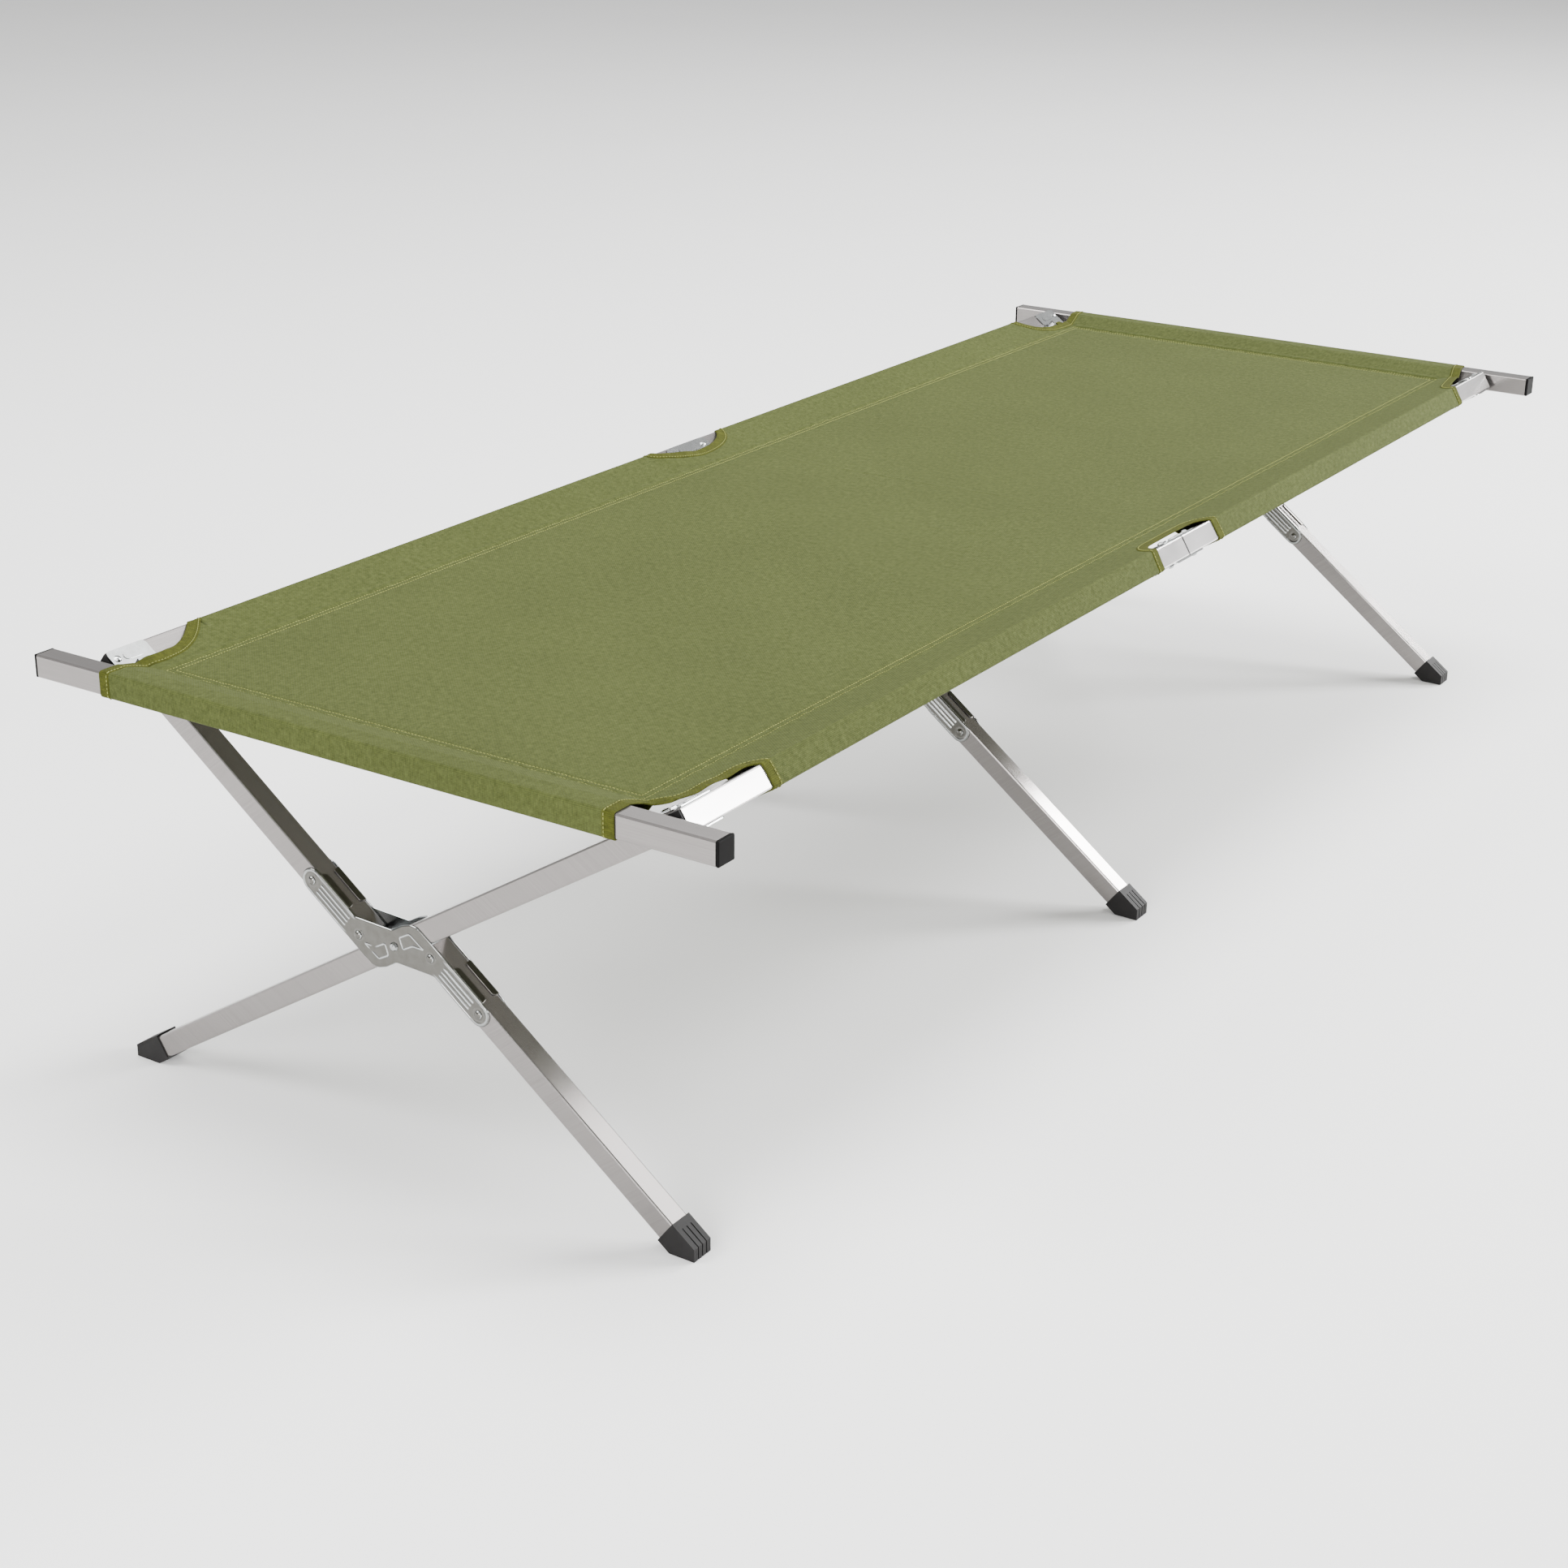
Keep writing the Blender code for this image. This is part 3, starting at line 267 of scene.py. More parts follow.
@dataclass(frozen=True)
class WovenCloth:
    """Plain-woven polyester: crossing threads over and under, slubs, slow changes of tone.

    The pattern runs on the flat cut's own UV map, which is in metres. A real oxford has about
    0.6 mm between threads; it is drawn coarser so that it still shows in the picture. A wave
    gives each thread its round back, and a checker of one thread's width says which is on top.
    Short streaks, longer along the cloth than across it, stand for threads of uneven colour.
    The low places between the threads take the darker shade colour as painted shade, mixed with
    the fibres' own random tone.
    """

    name: str
    colour: str
    shade: str
    light: str
    thread: float
    bump: float = 0.5
    roughness: float = 0.82
    sheen: float = 0.015
    gloss: float = 0.05
    relief: float = 0.25 * MM
    fibre_size: float = 2.38 * MM     # real fibres are near 0.02 mm, drawn coarser to show
    mottle_size: float = 7.69 * MM
    slow_size: float = 200 * MM
    streaks: tuple[float, float] = (0.6, 0.25)     # across and along, in each thread's width

    def make(self) -> bpy.types.Material:
        """Builds the material.

        Returns:
            The new material.
        """
        recipe = Recipe(self.name)
        flat = recipe.add("UVMap", uv_map="flat_cut")
        waves = math.pi / (10 * self.thread)     # a wave of scale s repeats every pi / (10 s)
        wave = {"Vector": flat, "Scale": waves, "Distortion": 0.0}
        warp, weft = (recipe.add("TexWave", wave, "Fac", wave_type="BANDS", bands_direction=way,
                                 wave_profile="SIN") for way in "XY")
        over = recipe.add("TexChecker", {"Vector": flat, "Scale": 1 / self.thread,
                                         "Color1": (1, 1, 1, 1), "Color2": (0, 0, 0, 1)}, "Fac")
        upper = recipe.add("Mix", {0: over, 2: warp, 3: weft})
        deep = recipe.add("MapRange", {"Value": upper, "To Max": 1.1})
        fibres = recipe.add("TexNoise", {"Vector": flat, "Scale": 1 / self.fibre_size,
                                         "Detail": 3.0})
        woven = recipe.add("Math", {0: fibres, 1: deep, 2: 0.06}, operation="MULTIPLY_ADD")
        # painted shade in the hollows between threads, mixed with the fibres' random tone
        tone = recipe.add("Mix", {0: woven, 6: linear(self.shade), 7: linear(self.colour)}, 2,
                          data_type="RGBA")
        mottle = recipe.add("TexNoise", {"Vector": flat, "Scale": 1 / self.mottle_size,
                                         "Detail": 4.0, "Roughness": 0.7})
        mottle = recipe.add("MapRange", {"Value": mottle, "From Min": 0.35, "From Max": 0.75,
                                         "To Max": 0.5})
        tone = recipe.add("Mix", {0: mottle, 6: tone, 7: linear(self.light)}, 2, data_type="RGBA")
        slow = recipe.add("TexNoise", {"Vector": flat, "Scale": 1 / self.slow_size,
                                       "Detail": 3.0, "Roughness": 0.6})
        slow = recipe.add("MapRange", {"Value": slow, "From Min": 0.3, "From Max": 0.7,
                                       "To Min": 0.94, "To Max": 1.05})
        across, along = (share / self.thread for share in self.streaks)
        stretched = recipe.add("Mapping", {"Vector": flat, "Scale": (across, along, 1.0)})
        streak = recipe.add("TexNoise", {"Vector": stretched, "Scale": 1.0, "Detail": 1.0})
        streak = recipe.add("MapRange", {"Value": streak, "From Min": 0.3, "From Max": 0.7,
                                         "To Min": 0.86, "To Max": 1.12})
        both = recipe.add("Math", {0: slow, 1: streak}, operation="MULTIPLY")
        tone = recipe.add("Mix", {0: 1.0, 6: tone, 7: both}, 2, data_type="RGBA",
                          blend_type="MULTIPLY")
        lift = recipe.add("Bump", {"Height": woven, "Strength": self.bump,
                                   "Distance": self.relief})
        return recipe.finish({
            "Base Color": tone, "Normal": lift, "Roughness": self.roughness,
            "Sheen Weight": self.sheen, "Specular IOR Level": self.gloss})


CANVAS = WovenCloth("olive_oxford_canvas", "#4f572d", "#2c3115", "#535a33", 1.7 * MM, bump=1.0)
BACK = WovenCloth("coated_canvas_back", "#686959", "#4d4c40", "#727362", 1.7 * MM, roughness=0.7)
TAPE = WovenCloth("ribbed_binding_tape", "#494d1c", "#252809", "#53571f", 1.9 * MM, bump=1.0)
THREAD = WovenCloth("twisted_sewing_thread", "#7d8149", "#666a37", "#898e54", 0.8 * MM, bump=0.3)


# Mesh helpers

def mesh_object(name: str, points: Array, faces: Array, flat: Array | None,
                material: bpy.types.Material, smooth: bool = True) -> bpy.types.Object:
    """Puts points and faces into a new object at the origin.

    Args:
        name: the piece's name.
        points: n × 3 corners.
        faces: m × 4 corner numbers.
        flat: n × 2 place on the flat cut, in metres, or None.
        material: what it is made of.
        smooth: whether its faces are shaded smooth.

    Returns:
        The new object, linked to the scene.
    """
    mesh = bpy.data.meshes.new(name)
    mesh.vertices.add(len(points))
    mesh.vertices.foreach_set("co", np.ascontiguousarray(points, np.float32).ravel())
    mesh.loops.add(faces.size)
    mesh.loops.foreach_set("vertex_index", faces.astype(np.int32).ravel())
    mesh.polygons.add(len(faces))
    mesh.polygons.foreach_set("loop_start", np.arange(0, faces.size, 4, dtype=np.int32))
    mesh.update(calc_edges=True)
    if flat is not None:
        uv = mesh.uv_layers.new(name="flat_cut")
        uv.data.foreach_set("uv", flat[faces.ravel()].astype(np.float32).ravel())
    mesh.polygons.foreach_set("use_smooth", np.full(len(faces), smooth))
    mesh.materials.append(material)
    mesh.validate()
    piece = bpy.data.objects.new(name, mesh)
    bpy.context.scene.collection.objects.link(piece)
    return piece


def grid_faces(rows: int, columns: int, closed: bool = False) -> Array:
    """Numbers the quads of a grid of points kept row after row.

    Args:
        rows: points along the first parameter.
        columns: points along the second.
        closed: whether the last column joins the first.

    Returns:
        A (rows, columns, 4) block of corner numbers, one less where a way is open.
    """
    r, c = np.meshgrid(np.arange(rows - 1), np.arange(columns - (not closed)), indexing="ij")
    r1, c1 = r + 1, (c + 1) % columns
    return np.stack([r * columns + c, r * columns + c1, r1 * columns + c1, r1 * columns + c], -1)


def bar_faces(rows: int, columns: int) -> Array:
    """Numbers the quads of a bar: a closed section carried along rows, with both ends capped.

    Args:
        rows: sections along the bar.
        columns: points round each section, an even number.

    Returns:
        m × 4 corner numbers.
    """
    first = np.arange(columns // 2 - 1)
    cap = np.stack([first, first + 1, columns - 2 - first, columns - 1 - first], -1)
    sides = grid_faces(rows, columns, closed=True).reshape(-1, 4)
    return np.concatenate([sides, cap[:, ::-1], cap + (rows - 1) * columns])


def rim_edges(faces: Array) -> Array:
    """Finds the rims of a sheet: edges that a face has one way and no face has the other way.

    Args:
        faces: m × 4 corner numbers.

    Returns:
        k × 2 corner numbers, each in its face's direction.
    """
    edges = np.stack([faces, np.roll(faces, -1, 1)], -1).reshape(-1, 2)
    count = faces.max() + 1
    key, back = edges[:, 0] * count + edges[:, 1], edges[:, 1] * count + edges[:, 0]
    return edges[~np.isin(key, back)]


def plate_faces(faces: Array, count: int) -> Array:
    """Numbers the faces of a plate: its upper skin, its lower skin and the walls round its rims.

    Args:
        faces: m × 4 corner numbers of the upper skin.
        count: how many points a skin has; the lower skin's follow the upper one's.

    Returns:
        All faces.
    """
    rim = rim_edges(faces)
    walls = np.stack([rim[:, 1], rim[:, 0], rim[:, 0] + count, rim[:, 1] + count], -1)
    return np.concatenate([faces, faces[:, ::-1] + count, walls])


def thicken(points: Array, normals: Array, faces: Array, half: float) -> tuple[Array, Array, Array]:
    """Gives a sheet its thickness: a copy each way along the normal, joined round every rim.

    Args:
        points: n × 3 middle surface.
        normals: n × 3 unit normals.
        faces: m × 4 corner numbers, counter-clockwise from above.
        half: half the thickness.

    Returns:
        Points, faces, and for each point the number of the middle point that it came from.
    """
    both = np.concatenate([points + normals * half, points - normals * half])
    all_faces = plate_faces(faces, len(points))
    used, packed = np.unique(all_faces, return_inverse=True)
    return both[used], packed.reshape(all_faces.shape), used % len(points)


def unit(v: Array) -> Array:
    """Scales each vector on the last axis to length one."""
    return v / np.maximum(np.linalg.norm(v, axis=-1, keepdims=True), 1e-12)


def band(stations: list[tuple[float, float, float]], arc_steps: int = 6) -> Array:
    """Pulls a band tight clockwise round circles, in a plane.

    Between two circles the band is their common tangent on the left: its normal n makes
    n · (next centre − centre) equal the difference of the radii. On a circle it is an arc.

    Args:
        stations: centre and radius of each circle; a radius of zero is a plain point.
        arc_steps: pieces in each arc.

    Returns:
        The band's points in order, n × 2.
    """
    centres, radii = np.array(stations)[:, :2], np.array(stations)[:, 2]
    gap = np.diff(centres, axis=0)
    reach = np.linalg.norm(gap, axis=1)
    lean = np.arctan2(gap[:, 1], gap[:, 0]) + np.arccos(-np.diff(radii) / reach)
    first, last = np.r_[lean[0], lean], np.r_[lean, lean[-1]]
    turn = -np.mod(first - last, 2 * math.pi)
    turn = np.where(turn < -1.9 * math.pi, 0.0, turn)
    share = np.linspace(0, 1, arc_steps + 1)
    angles = first[:, None] + turn[:, None] * share
    arcs = centres[:, None] + radii[:, None, None] * np.stack([np.cos(angles), np.sin(angles)], -1)
    path = arcs.reshape(-1, 2)
    keep = np.r_[True, np.linalg.norm(np.diff(path, axis=0), axis=1) > 1e-5]
    return path[keep]


def lengths(path: Array) -> Array:
    """Gives the distance along a path, from its start, at each of its points."""
    return np.r_[0.0, np.cumsum(np.linalg.norm(np.diff(path, axis=0), axis=1))]


def bell(off: Array, width: float) -> Array:
    """A bell curve: e to the power of minus the square of the offset over the width."""
    return np.exp(-(off / width) ** 2)


def filled(marks: Array) -> Array:
    """Finds places to add to a rising row: every 5 mm in each gap wider than 6 mm."""
    return np.concatenate([np.arange(p, q, 5 * MM)[1:] for p, q in zip(marks[:-1], marks[1:])
                           if q - p > 6 * MM])


def spaced(marks: Array, least: float) -> Array:
    """Sorts places and drops those no more than the least gap past the one before."""
    marks = np.unique(marks)
    return marks[np.r_[True, np.diff(marks) > least]]


def inward(path: Array, side: int) -> Array:
    """Points from a raw edge into the cloth, square to it; side is one on the right half."""
    way = unit(np.gradient(path, axis=0))
    return np.stack([-way[:, 1], way[:, 0]], -1) * side


def rounded(path: Array, radius: float, spacing: float, closed: bool = False) -> Array:
    """Resamples a path evenly and takes its corners off.

    Corners go by a running mean that reaches the radius to each side. An open path's ends are
    held: it is carried on past each end as its own image turned about that end.

    Args:
        path: n × 2 corners.
        radius: how far the mean reaches.
        spacing: distance between the new points.
        closed: whether the last corner joins the first.

    Returns:
        The new points.
    """
    path = np.concatenate([path, path[:1]]) if closed else path
    along = lengths(path)
    even = np.linspace(0, along[-1], int(along[-1] / spacing) + (not closed), endpoint=not closed)
    fine = np.stack([np.interp(even, along, path[:, i]) for i in (0, 1)], -1)
    width = max(int(radius / spacing), 1)
    if closed:
        before, after = fine[-width:], fine[:width]
    else:
        before = 2 * fine[:1] - fine[width:0:-1]
        after = 2 * fine[-1:] - fine[-2:-width - 2:-1]
    padded = np.concatenate([before, fine, after])
    kernel = np.ones(2 * width + 1) / (2 * width + 1)
    return np.stack([np.convolve(padded[:, i], kernel, "valid") for i in (0, 1)], -1)


def nearest(points: Array, loop: Array) -> tuple[Array, Array, Array]:
    """Finds the nearest place of a closed outline, in blocks of points to save memory.

    A point is inside when a ray from it crosses the outline an odd number of times.

    Args:
        points: n × 2 places.
        loop: m × 2 corners of the outline.

    Returns:
        The distances, the nearest places, and whether each point is inside.
    """
    way = np.roll(loop, -1, 0) - loop
    found = []
    for block in np.array_split(points, 1 + len(points) // 1500):
        gap = block[:, None] - loop
        share = np.clip((gap * way).sum(-1) / (way ** 2).sum(-1), 0, 1)
        foot = loop + share[..., None] * way
        far = np.linalg.norm(block[:, None] - foot, axis=-1)
        best = far.argmin(1)
        pick = np.arange(len(block))
        above = (gap[..., 1] < 0) != (gap[..., 1] < way[:, 1])
        reach = gap[..., 0] < gap[..., 1] * way[:, 0] / np.where(way[:, 1] == 0, 1e-12, way[:, 1])
        found.append((far[pick, best], foot[pick, best], (above & reach).sum(1) % 2 == 1))
    return tuple(np.concatenate(part) for part in zip(*found))


# The cloth's own geometry

class Edge(Enum):
    """The four raw corners of the cloth and its two side notches, by side and end."""

    RIGHT_NEAR = (1, -1)
    RIGHT_FAR = (1, 1)
    LEFT_NEAR = (-1, -1)
    LEFT_FAR = (-1, 1)
    RIGHT_MID = (1, 0)
    LEFT_MID = (-1, 0)


# Raw edges as (distance from the middle line, place along) in mm, from the near end to the far
# one, measured on the photograph. The left middle notch is a curve of its own.
RAW_EDGES = {
    Edge.RIGHT_MID: [(380, -71), (355, -67), (346, -58), (342, -46), (341, 16), (342, 62),
                     (346, 74), (355, 79), (380, 80)],
    Edge.RIGHT_NEAR: [(317, -1300), (314, -1030), (312, -1012), (316, -1001), (332, -996.6),
                      (342.8, -989.5), (346.2, -970), (349.5, -897), (355, -888), (376, -885)],
    Edge.LEFT_NEAR: [(331, -1300), (331, -1030), (330.5, -1010), (329, -992), (327.6, -973),
                     (331.6, -946), (340, -926), (352.5, -908), (373, -886)],
    Edge.RIGHT_FAR: [(376, 897), (358, 899), (350, 910), (344, 935), (330, 1002), (325, 1022),
                     (321, 1040), (319, 1060), (319, 1300)],
    Edge.LEFT_FAR: [(373, 899), (348, 908), (329, 922), (320, 948), (317, 980), (322, 1010),
                    (326, 1030), (329, 1050), (330, 1300)]}


@dataclass
class Tube:
    """A square tube that cloth goes round, seen along its own length."""

    centre: tuple[float, float]
    tilt: float = 0.0
    half: float = 12.5 * MM
    corner: float = 1.8 * MM

    def circles(self, corners: list[float], clear: float) -> list[tuple[float, float, float]]:
        """Places the circles of a tight band round some of the tube's corners.

        Args:
            corners: direction of each corner from the centre, in degrees before the tilt.
            clear: distance from the tube's skin to the band.

        Returns:
            Centre and radius for each corner.
        """
        reach = (self.half - self.corner) * math.sqrt(2)
        turned = [math.radians(c + self.tilt) for c in corners]
        return [(self.centre[0] + reach * math.cos(t), self.centre[1] + reach * math.sin(t),
                 self.corner + clear) for t in turned]


@dataclass
class ClothMap:
    """Wraps the flat cut round the rails and the end bars.

    A point of the cut is (a, b): a across from the middle, positive to the right, and b along
    from the middle, positive to the far end. Its place is x from the cross section at a and y
    from the long section at b. The sheet lies at mid height between its seams; outside a seam
    each sleeve slants up to its tube, goes round it and slants back. Where two sleeves meet at
    a corner the higher one counts on top, and their heights add up underneath.
    """

    level: float = 460.9 * MM
    clear: float = 0.95 * MM
    right_rail: Tube = field(default_factory=lambda: Tube((357.0 * MM, 459.1 * MM), 32.0))
    left_rail: Tube = field(default_factory=lambda: Tube((357.0 * MM, 459.15 * MM), 37.2))
    bar: Tube = field(default_factory=lambda: Tube((-1037.5 * MM, 459.1 * MM)))
    half_length: float = 0.95            # flat stretch of the long section, short of the end seams
    side_seam: float = 301.0 * MM
    end_seam: float = 989.0 * MM
    row_gap: float = 7.0 * MM
    hem: float = 13.0 * MM
    tuck: float = 1.9 * MM
    corner_fades: float = 1018.0 * MM
    notch: tuple[float, ...] = (378.0, 42.0, 3.0, 78.0)    # mouth, depth, middle, half, in mm
    sag: float = 3.2 * MM
    sag_reach: tuple[float, float] = (285.0 * MM, 970.0 * MM)
    groove: float = 0.75 * MM
    groove_width: float = 2.4 * MM
    fade: float = 3.0 * MM
    pucker: float = 0.3 * MM
    pucker_width: float = 9.0 * MM
    pucker_reach: float = 45.0 * MM
    waves: tuple[tuple[float, ...], ...] = ((1.0, 300.0, 2.1, 37.0), (0.7, 171.0, 1.3, 53.0))
    ridge: float = 0.7 * MM
    ridge_place: float = 4.6 * MM
    ridge_width: float = 2.4 * MM
    leg_sets: Place = (-985.0 * MM, -45.0 * MM, 985.0 * MM)
    tent: float = 3.4 * MM
    tent_place: float = -341.0 * MM
    tent_size: tuple[float, float] = (20.0 * MM, 31.0 * MM)
    droop: float = 1.6 * MM
    droop_span: Place = (318.0 * MM, 346.0 * MM, 372.0 * MM)     # from, at full strength, to
    droop_place: float = -943.0 * MM
    droop_reach: float = 45.0 * MM
    droop_waves: float = 128.0
    crease: float = 0.3 * MM
    crease_width: float = 1.8 * MM
    crease_fade: float = 20.0 * MM
    creases_at: tuple[tuple[float, ...], ...] = ((-0.2507, 0.298, 0.0661, 0.0455),
                                                 (0.005, 0.290, -0.0941, 0.0823))

    def __post_init__(self) -> None:
        """Works out the three sections."""
        self.right, self.left = self._side(self.right_rail), self._side(self.left_rail)
        under = self.level - self.tuck
        near = band([(-self.end_seam + self.hem, under, 0.0), (-self.end_seam, under, 0.0),
                     *self.bar.circles([-45, -135, 135, 45], self.clear),
                     (-self.end_seam, self.level, 0.0), (-self.half_length, self.level, 0.0)])
        self.long = np.concatenate([near, near[::-1] * [-1, 1]])
        self.long_at = lengths(self.long) - lengths(self.long)[-1] / 2
        self.right_at, self.left_at = lengths(self.right), lengths(self.left)

    def _side(self, rail: Tube) -> Array:
        """Runs the cross section from the middle over the rail and back under to its seam.

        Args:
            rail: the side rail, in a mirror image where it is the left one.

        Returns:
            The section's points (distance from the middle, height).
        """
        tail = self.level - self.tuck
        return band([(0.0, self.level, 0.0), (self.side_seam, self.level, 0.0),
                     *rail.circles([45, -45, -135], self.clear),
                     (self.side_seam, tail, 0.0), (self.side_seam - self.hem, tail, 0.0)])

    def relief(self, a: Array, b: Array) -> Array:
        """Heights of the sheet's own form.

        The slack middle is a product of two parabolas, the long one of the fourth power. Each
        sewn groove is a bell curve across its stitch row, with puckers that die away from it:
        sine waves along the row, each with its size, its radians in a metre, and the size and
        radians of the slower wave that bends it. The sewn-in edge underneath lifts a low ridge
        just outside each seam. Over each left leg bracket the cloth stands up like a tent, a
        bell curve across and a flat-topped one along. The free near-right edge droops in waves.

        Args:
            a: places across.
            b: places along.

        Returns:
            Heights to add.
        """
        across, along = np.abs(a), np.abs(b)
        height = (-self.sag * np.clip(1 - (across / self.sag_reach[0]) ** 2, 0, 1)
                  * np.clip(1 - (along / self.sag_reach[1]) ** 4, 0, 1))
        on_sides = np.clip((self.end_seam - along) / self.fade, 0, 1)
        on_ends = np.clip((self.side_seam - across) / self.fade, 0, 1)
        past_side, past_end = across - self.side_seam, along - self.end_seam
        for row in (0.0, self.row_gap):
            height = height - self.groove * np.maximum(
                on_sides * bell(past_side + row, self.groove_width),
                on_ends * bell(past_end + row, self.groove_width))
        for gap, path, shown in ((past_side, b, on_sides), (past_end, a, on_ends)):
            near = np.exp(-(np.abs(gap) / self.pucker_width)) * shown * (gap < self.pucker_reach)
            wave = sum(size * np.sin(path * often + bend * np.sin(path * slow))
                       for size, often, bend, slow in self.waves)
            height = height + self.pucker * near * wave
            height = height + self.ridge * shown * bell(gap - self.ridge_place, self.ridge_width)
        for y in self.leg_sets:
            height = height + self.tent * np.exp(-((a - self.tent_place) / self.tent_size[0]) ** 2
                                                 - np.abs((b - y) / self.tent_size[1]) ** 4)
        start, full, stop = self.droop_span
        free = (np.clip((a - start) / (full - start), 0, 1.2) * (a < stop)
                * np.exp(-((b - self.droop_place) / self.droop_reach) ** 4))
        height = height - free * self.droop * (0.7 + 0.5 * np.sin(b * self.droop_waves))
        return height + self.creases(a, b)

    def creases(self, a: Array, b: Array) -> Array:
        """Two faint fold lines across the middle, left from storage.

        Each is a bell curve across a straight line that is given by its start and end across the
        cloth, its place along at the start, and its slope.

        Args:
            a: places across.
            b: places along.

        Returns:
            Heights to add.
        """
        total = np.zeros_like(a * b)
        for start, end, foot, rise in self.creases_at:
            line = foot + rise * (a - start)
            shown = (np.clip((a - start) / self.crease_fade, 0, 1)
                     * np.clip((end - a) / self.crease_fade, 0, 1))
            total = total + shown * self.crease * bell(b - line, self.crease_width)
        return total

    def edge(self, edge: Edge) -> Array:
        """The raw edge of one corner cut or notch.

        The left middle notch is a rounded half oval: the sine's power flattens its bottom.

        Args:
            edge: which one.

        Returns:
            Its corners (distance from the middle line, b), from the near end to the far end.
        """
        if edge is not Edge.LEFT_MID:
            return np.array(RAW_EDGES[edge], float) * MM
        mouth, depth, middle, half = self.notch
        turn = np.radians(np.linspace(180, 0, 19))
        width = mouth - depth * np.sin(turn) ** 0.8
        return np.stack([width, middle + half * np.cos(turn)], -1) * MM

    def place(self, a: Array, b: Array) -> Array:
        """Maps the flat cut into the room.

        Args:
            a: places across.
            b: places along, of the same shape.

        Returns:
            Points, with a last axis of three.
        """
        right, width = a >= 0, np.abs(a)
        x = np.where(right, np.interp(width, self.right_at, self.right[:, 0]),
                     -np.interp(width, self.left_at, self.left[:, 0]))
        rise_x = np.where(right, np.interp(width, self.right_at, self.right[:, 1]),
                          np.interp(width, self.left_at, self.left[:, 1])) - self.level
        y = np.interp(b, self.long_at, self.long[:, 0])
        rise_y = np.interp(b, self.long_at, self.long[:, 1]) - self.level
        rise_x = rise_x * np.clip(
            (self.corner_fades - np.abs(y)) / (self.corner_fades - self.end_seam), 0, 1)
        on_top = np.minimum(rise_x, rise_y) >= 0
        rise = np.where(on_top, np.maximum(rise_x, rise_y), rise_x + rise_y)
        return np.stack([x, y, self.level + rise + self.relief(a, b)], -1)

    def normal(self, a: Array, b: Array, step: float = 0.4 * MM) -> Array:
        """Unit normals, from differences of the map.

        Args:
            a: places across.
            b: places along.
            step: how far apart the compared places are, to each side.

        Returns:
            Normals, with a last axis of three.
        """
        along_a = self.place(a + step, b) - self.place(a - step, b)
        along_b = self.place(a, b + step) - self.place(a, b - step)
        return unit(np.cross(along_a, along_b))


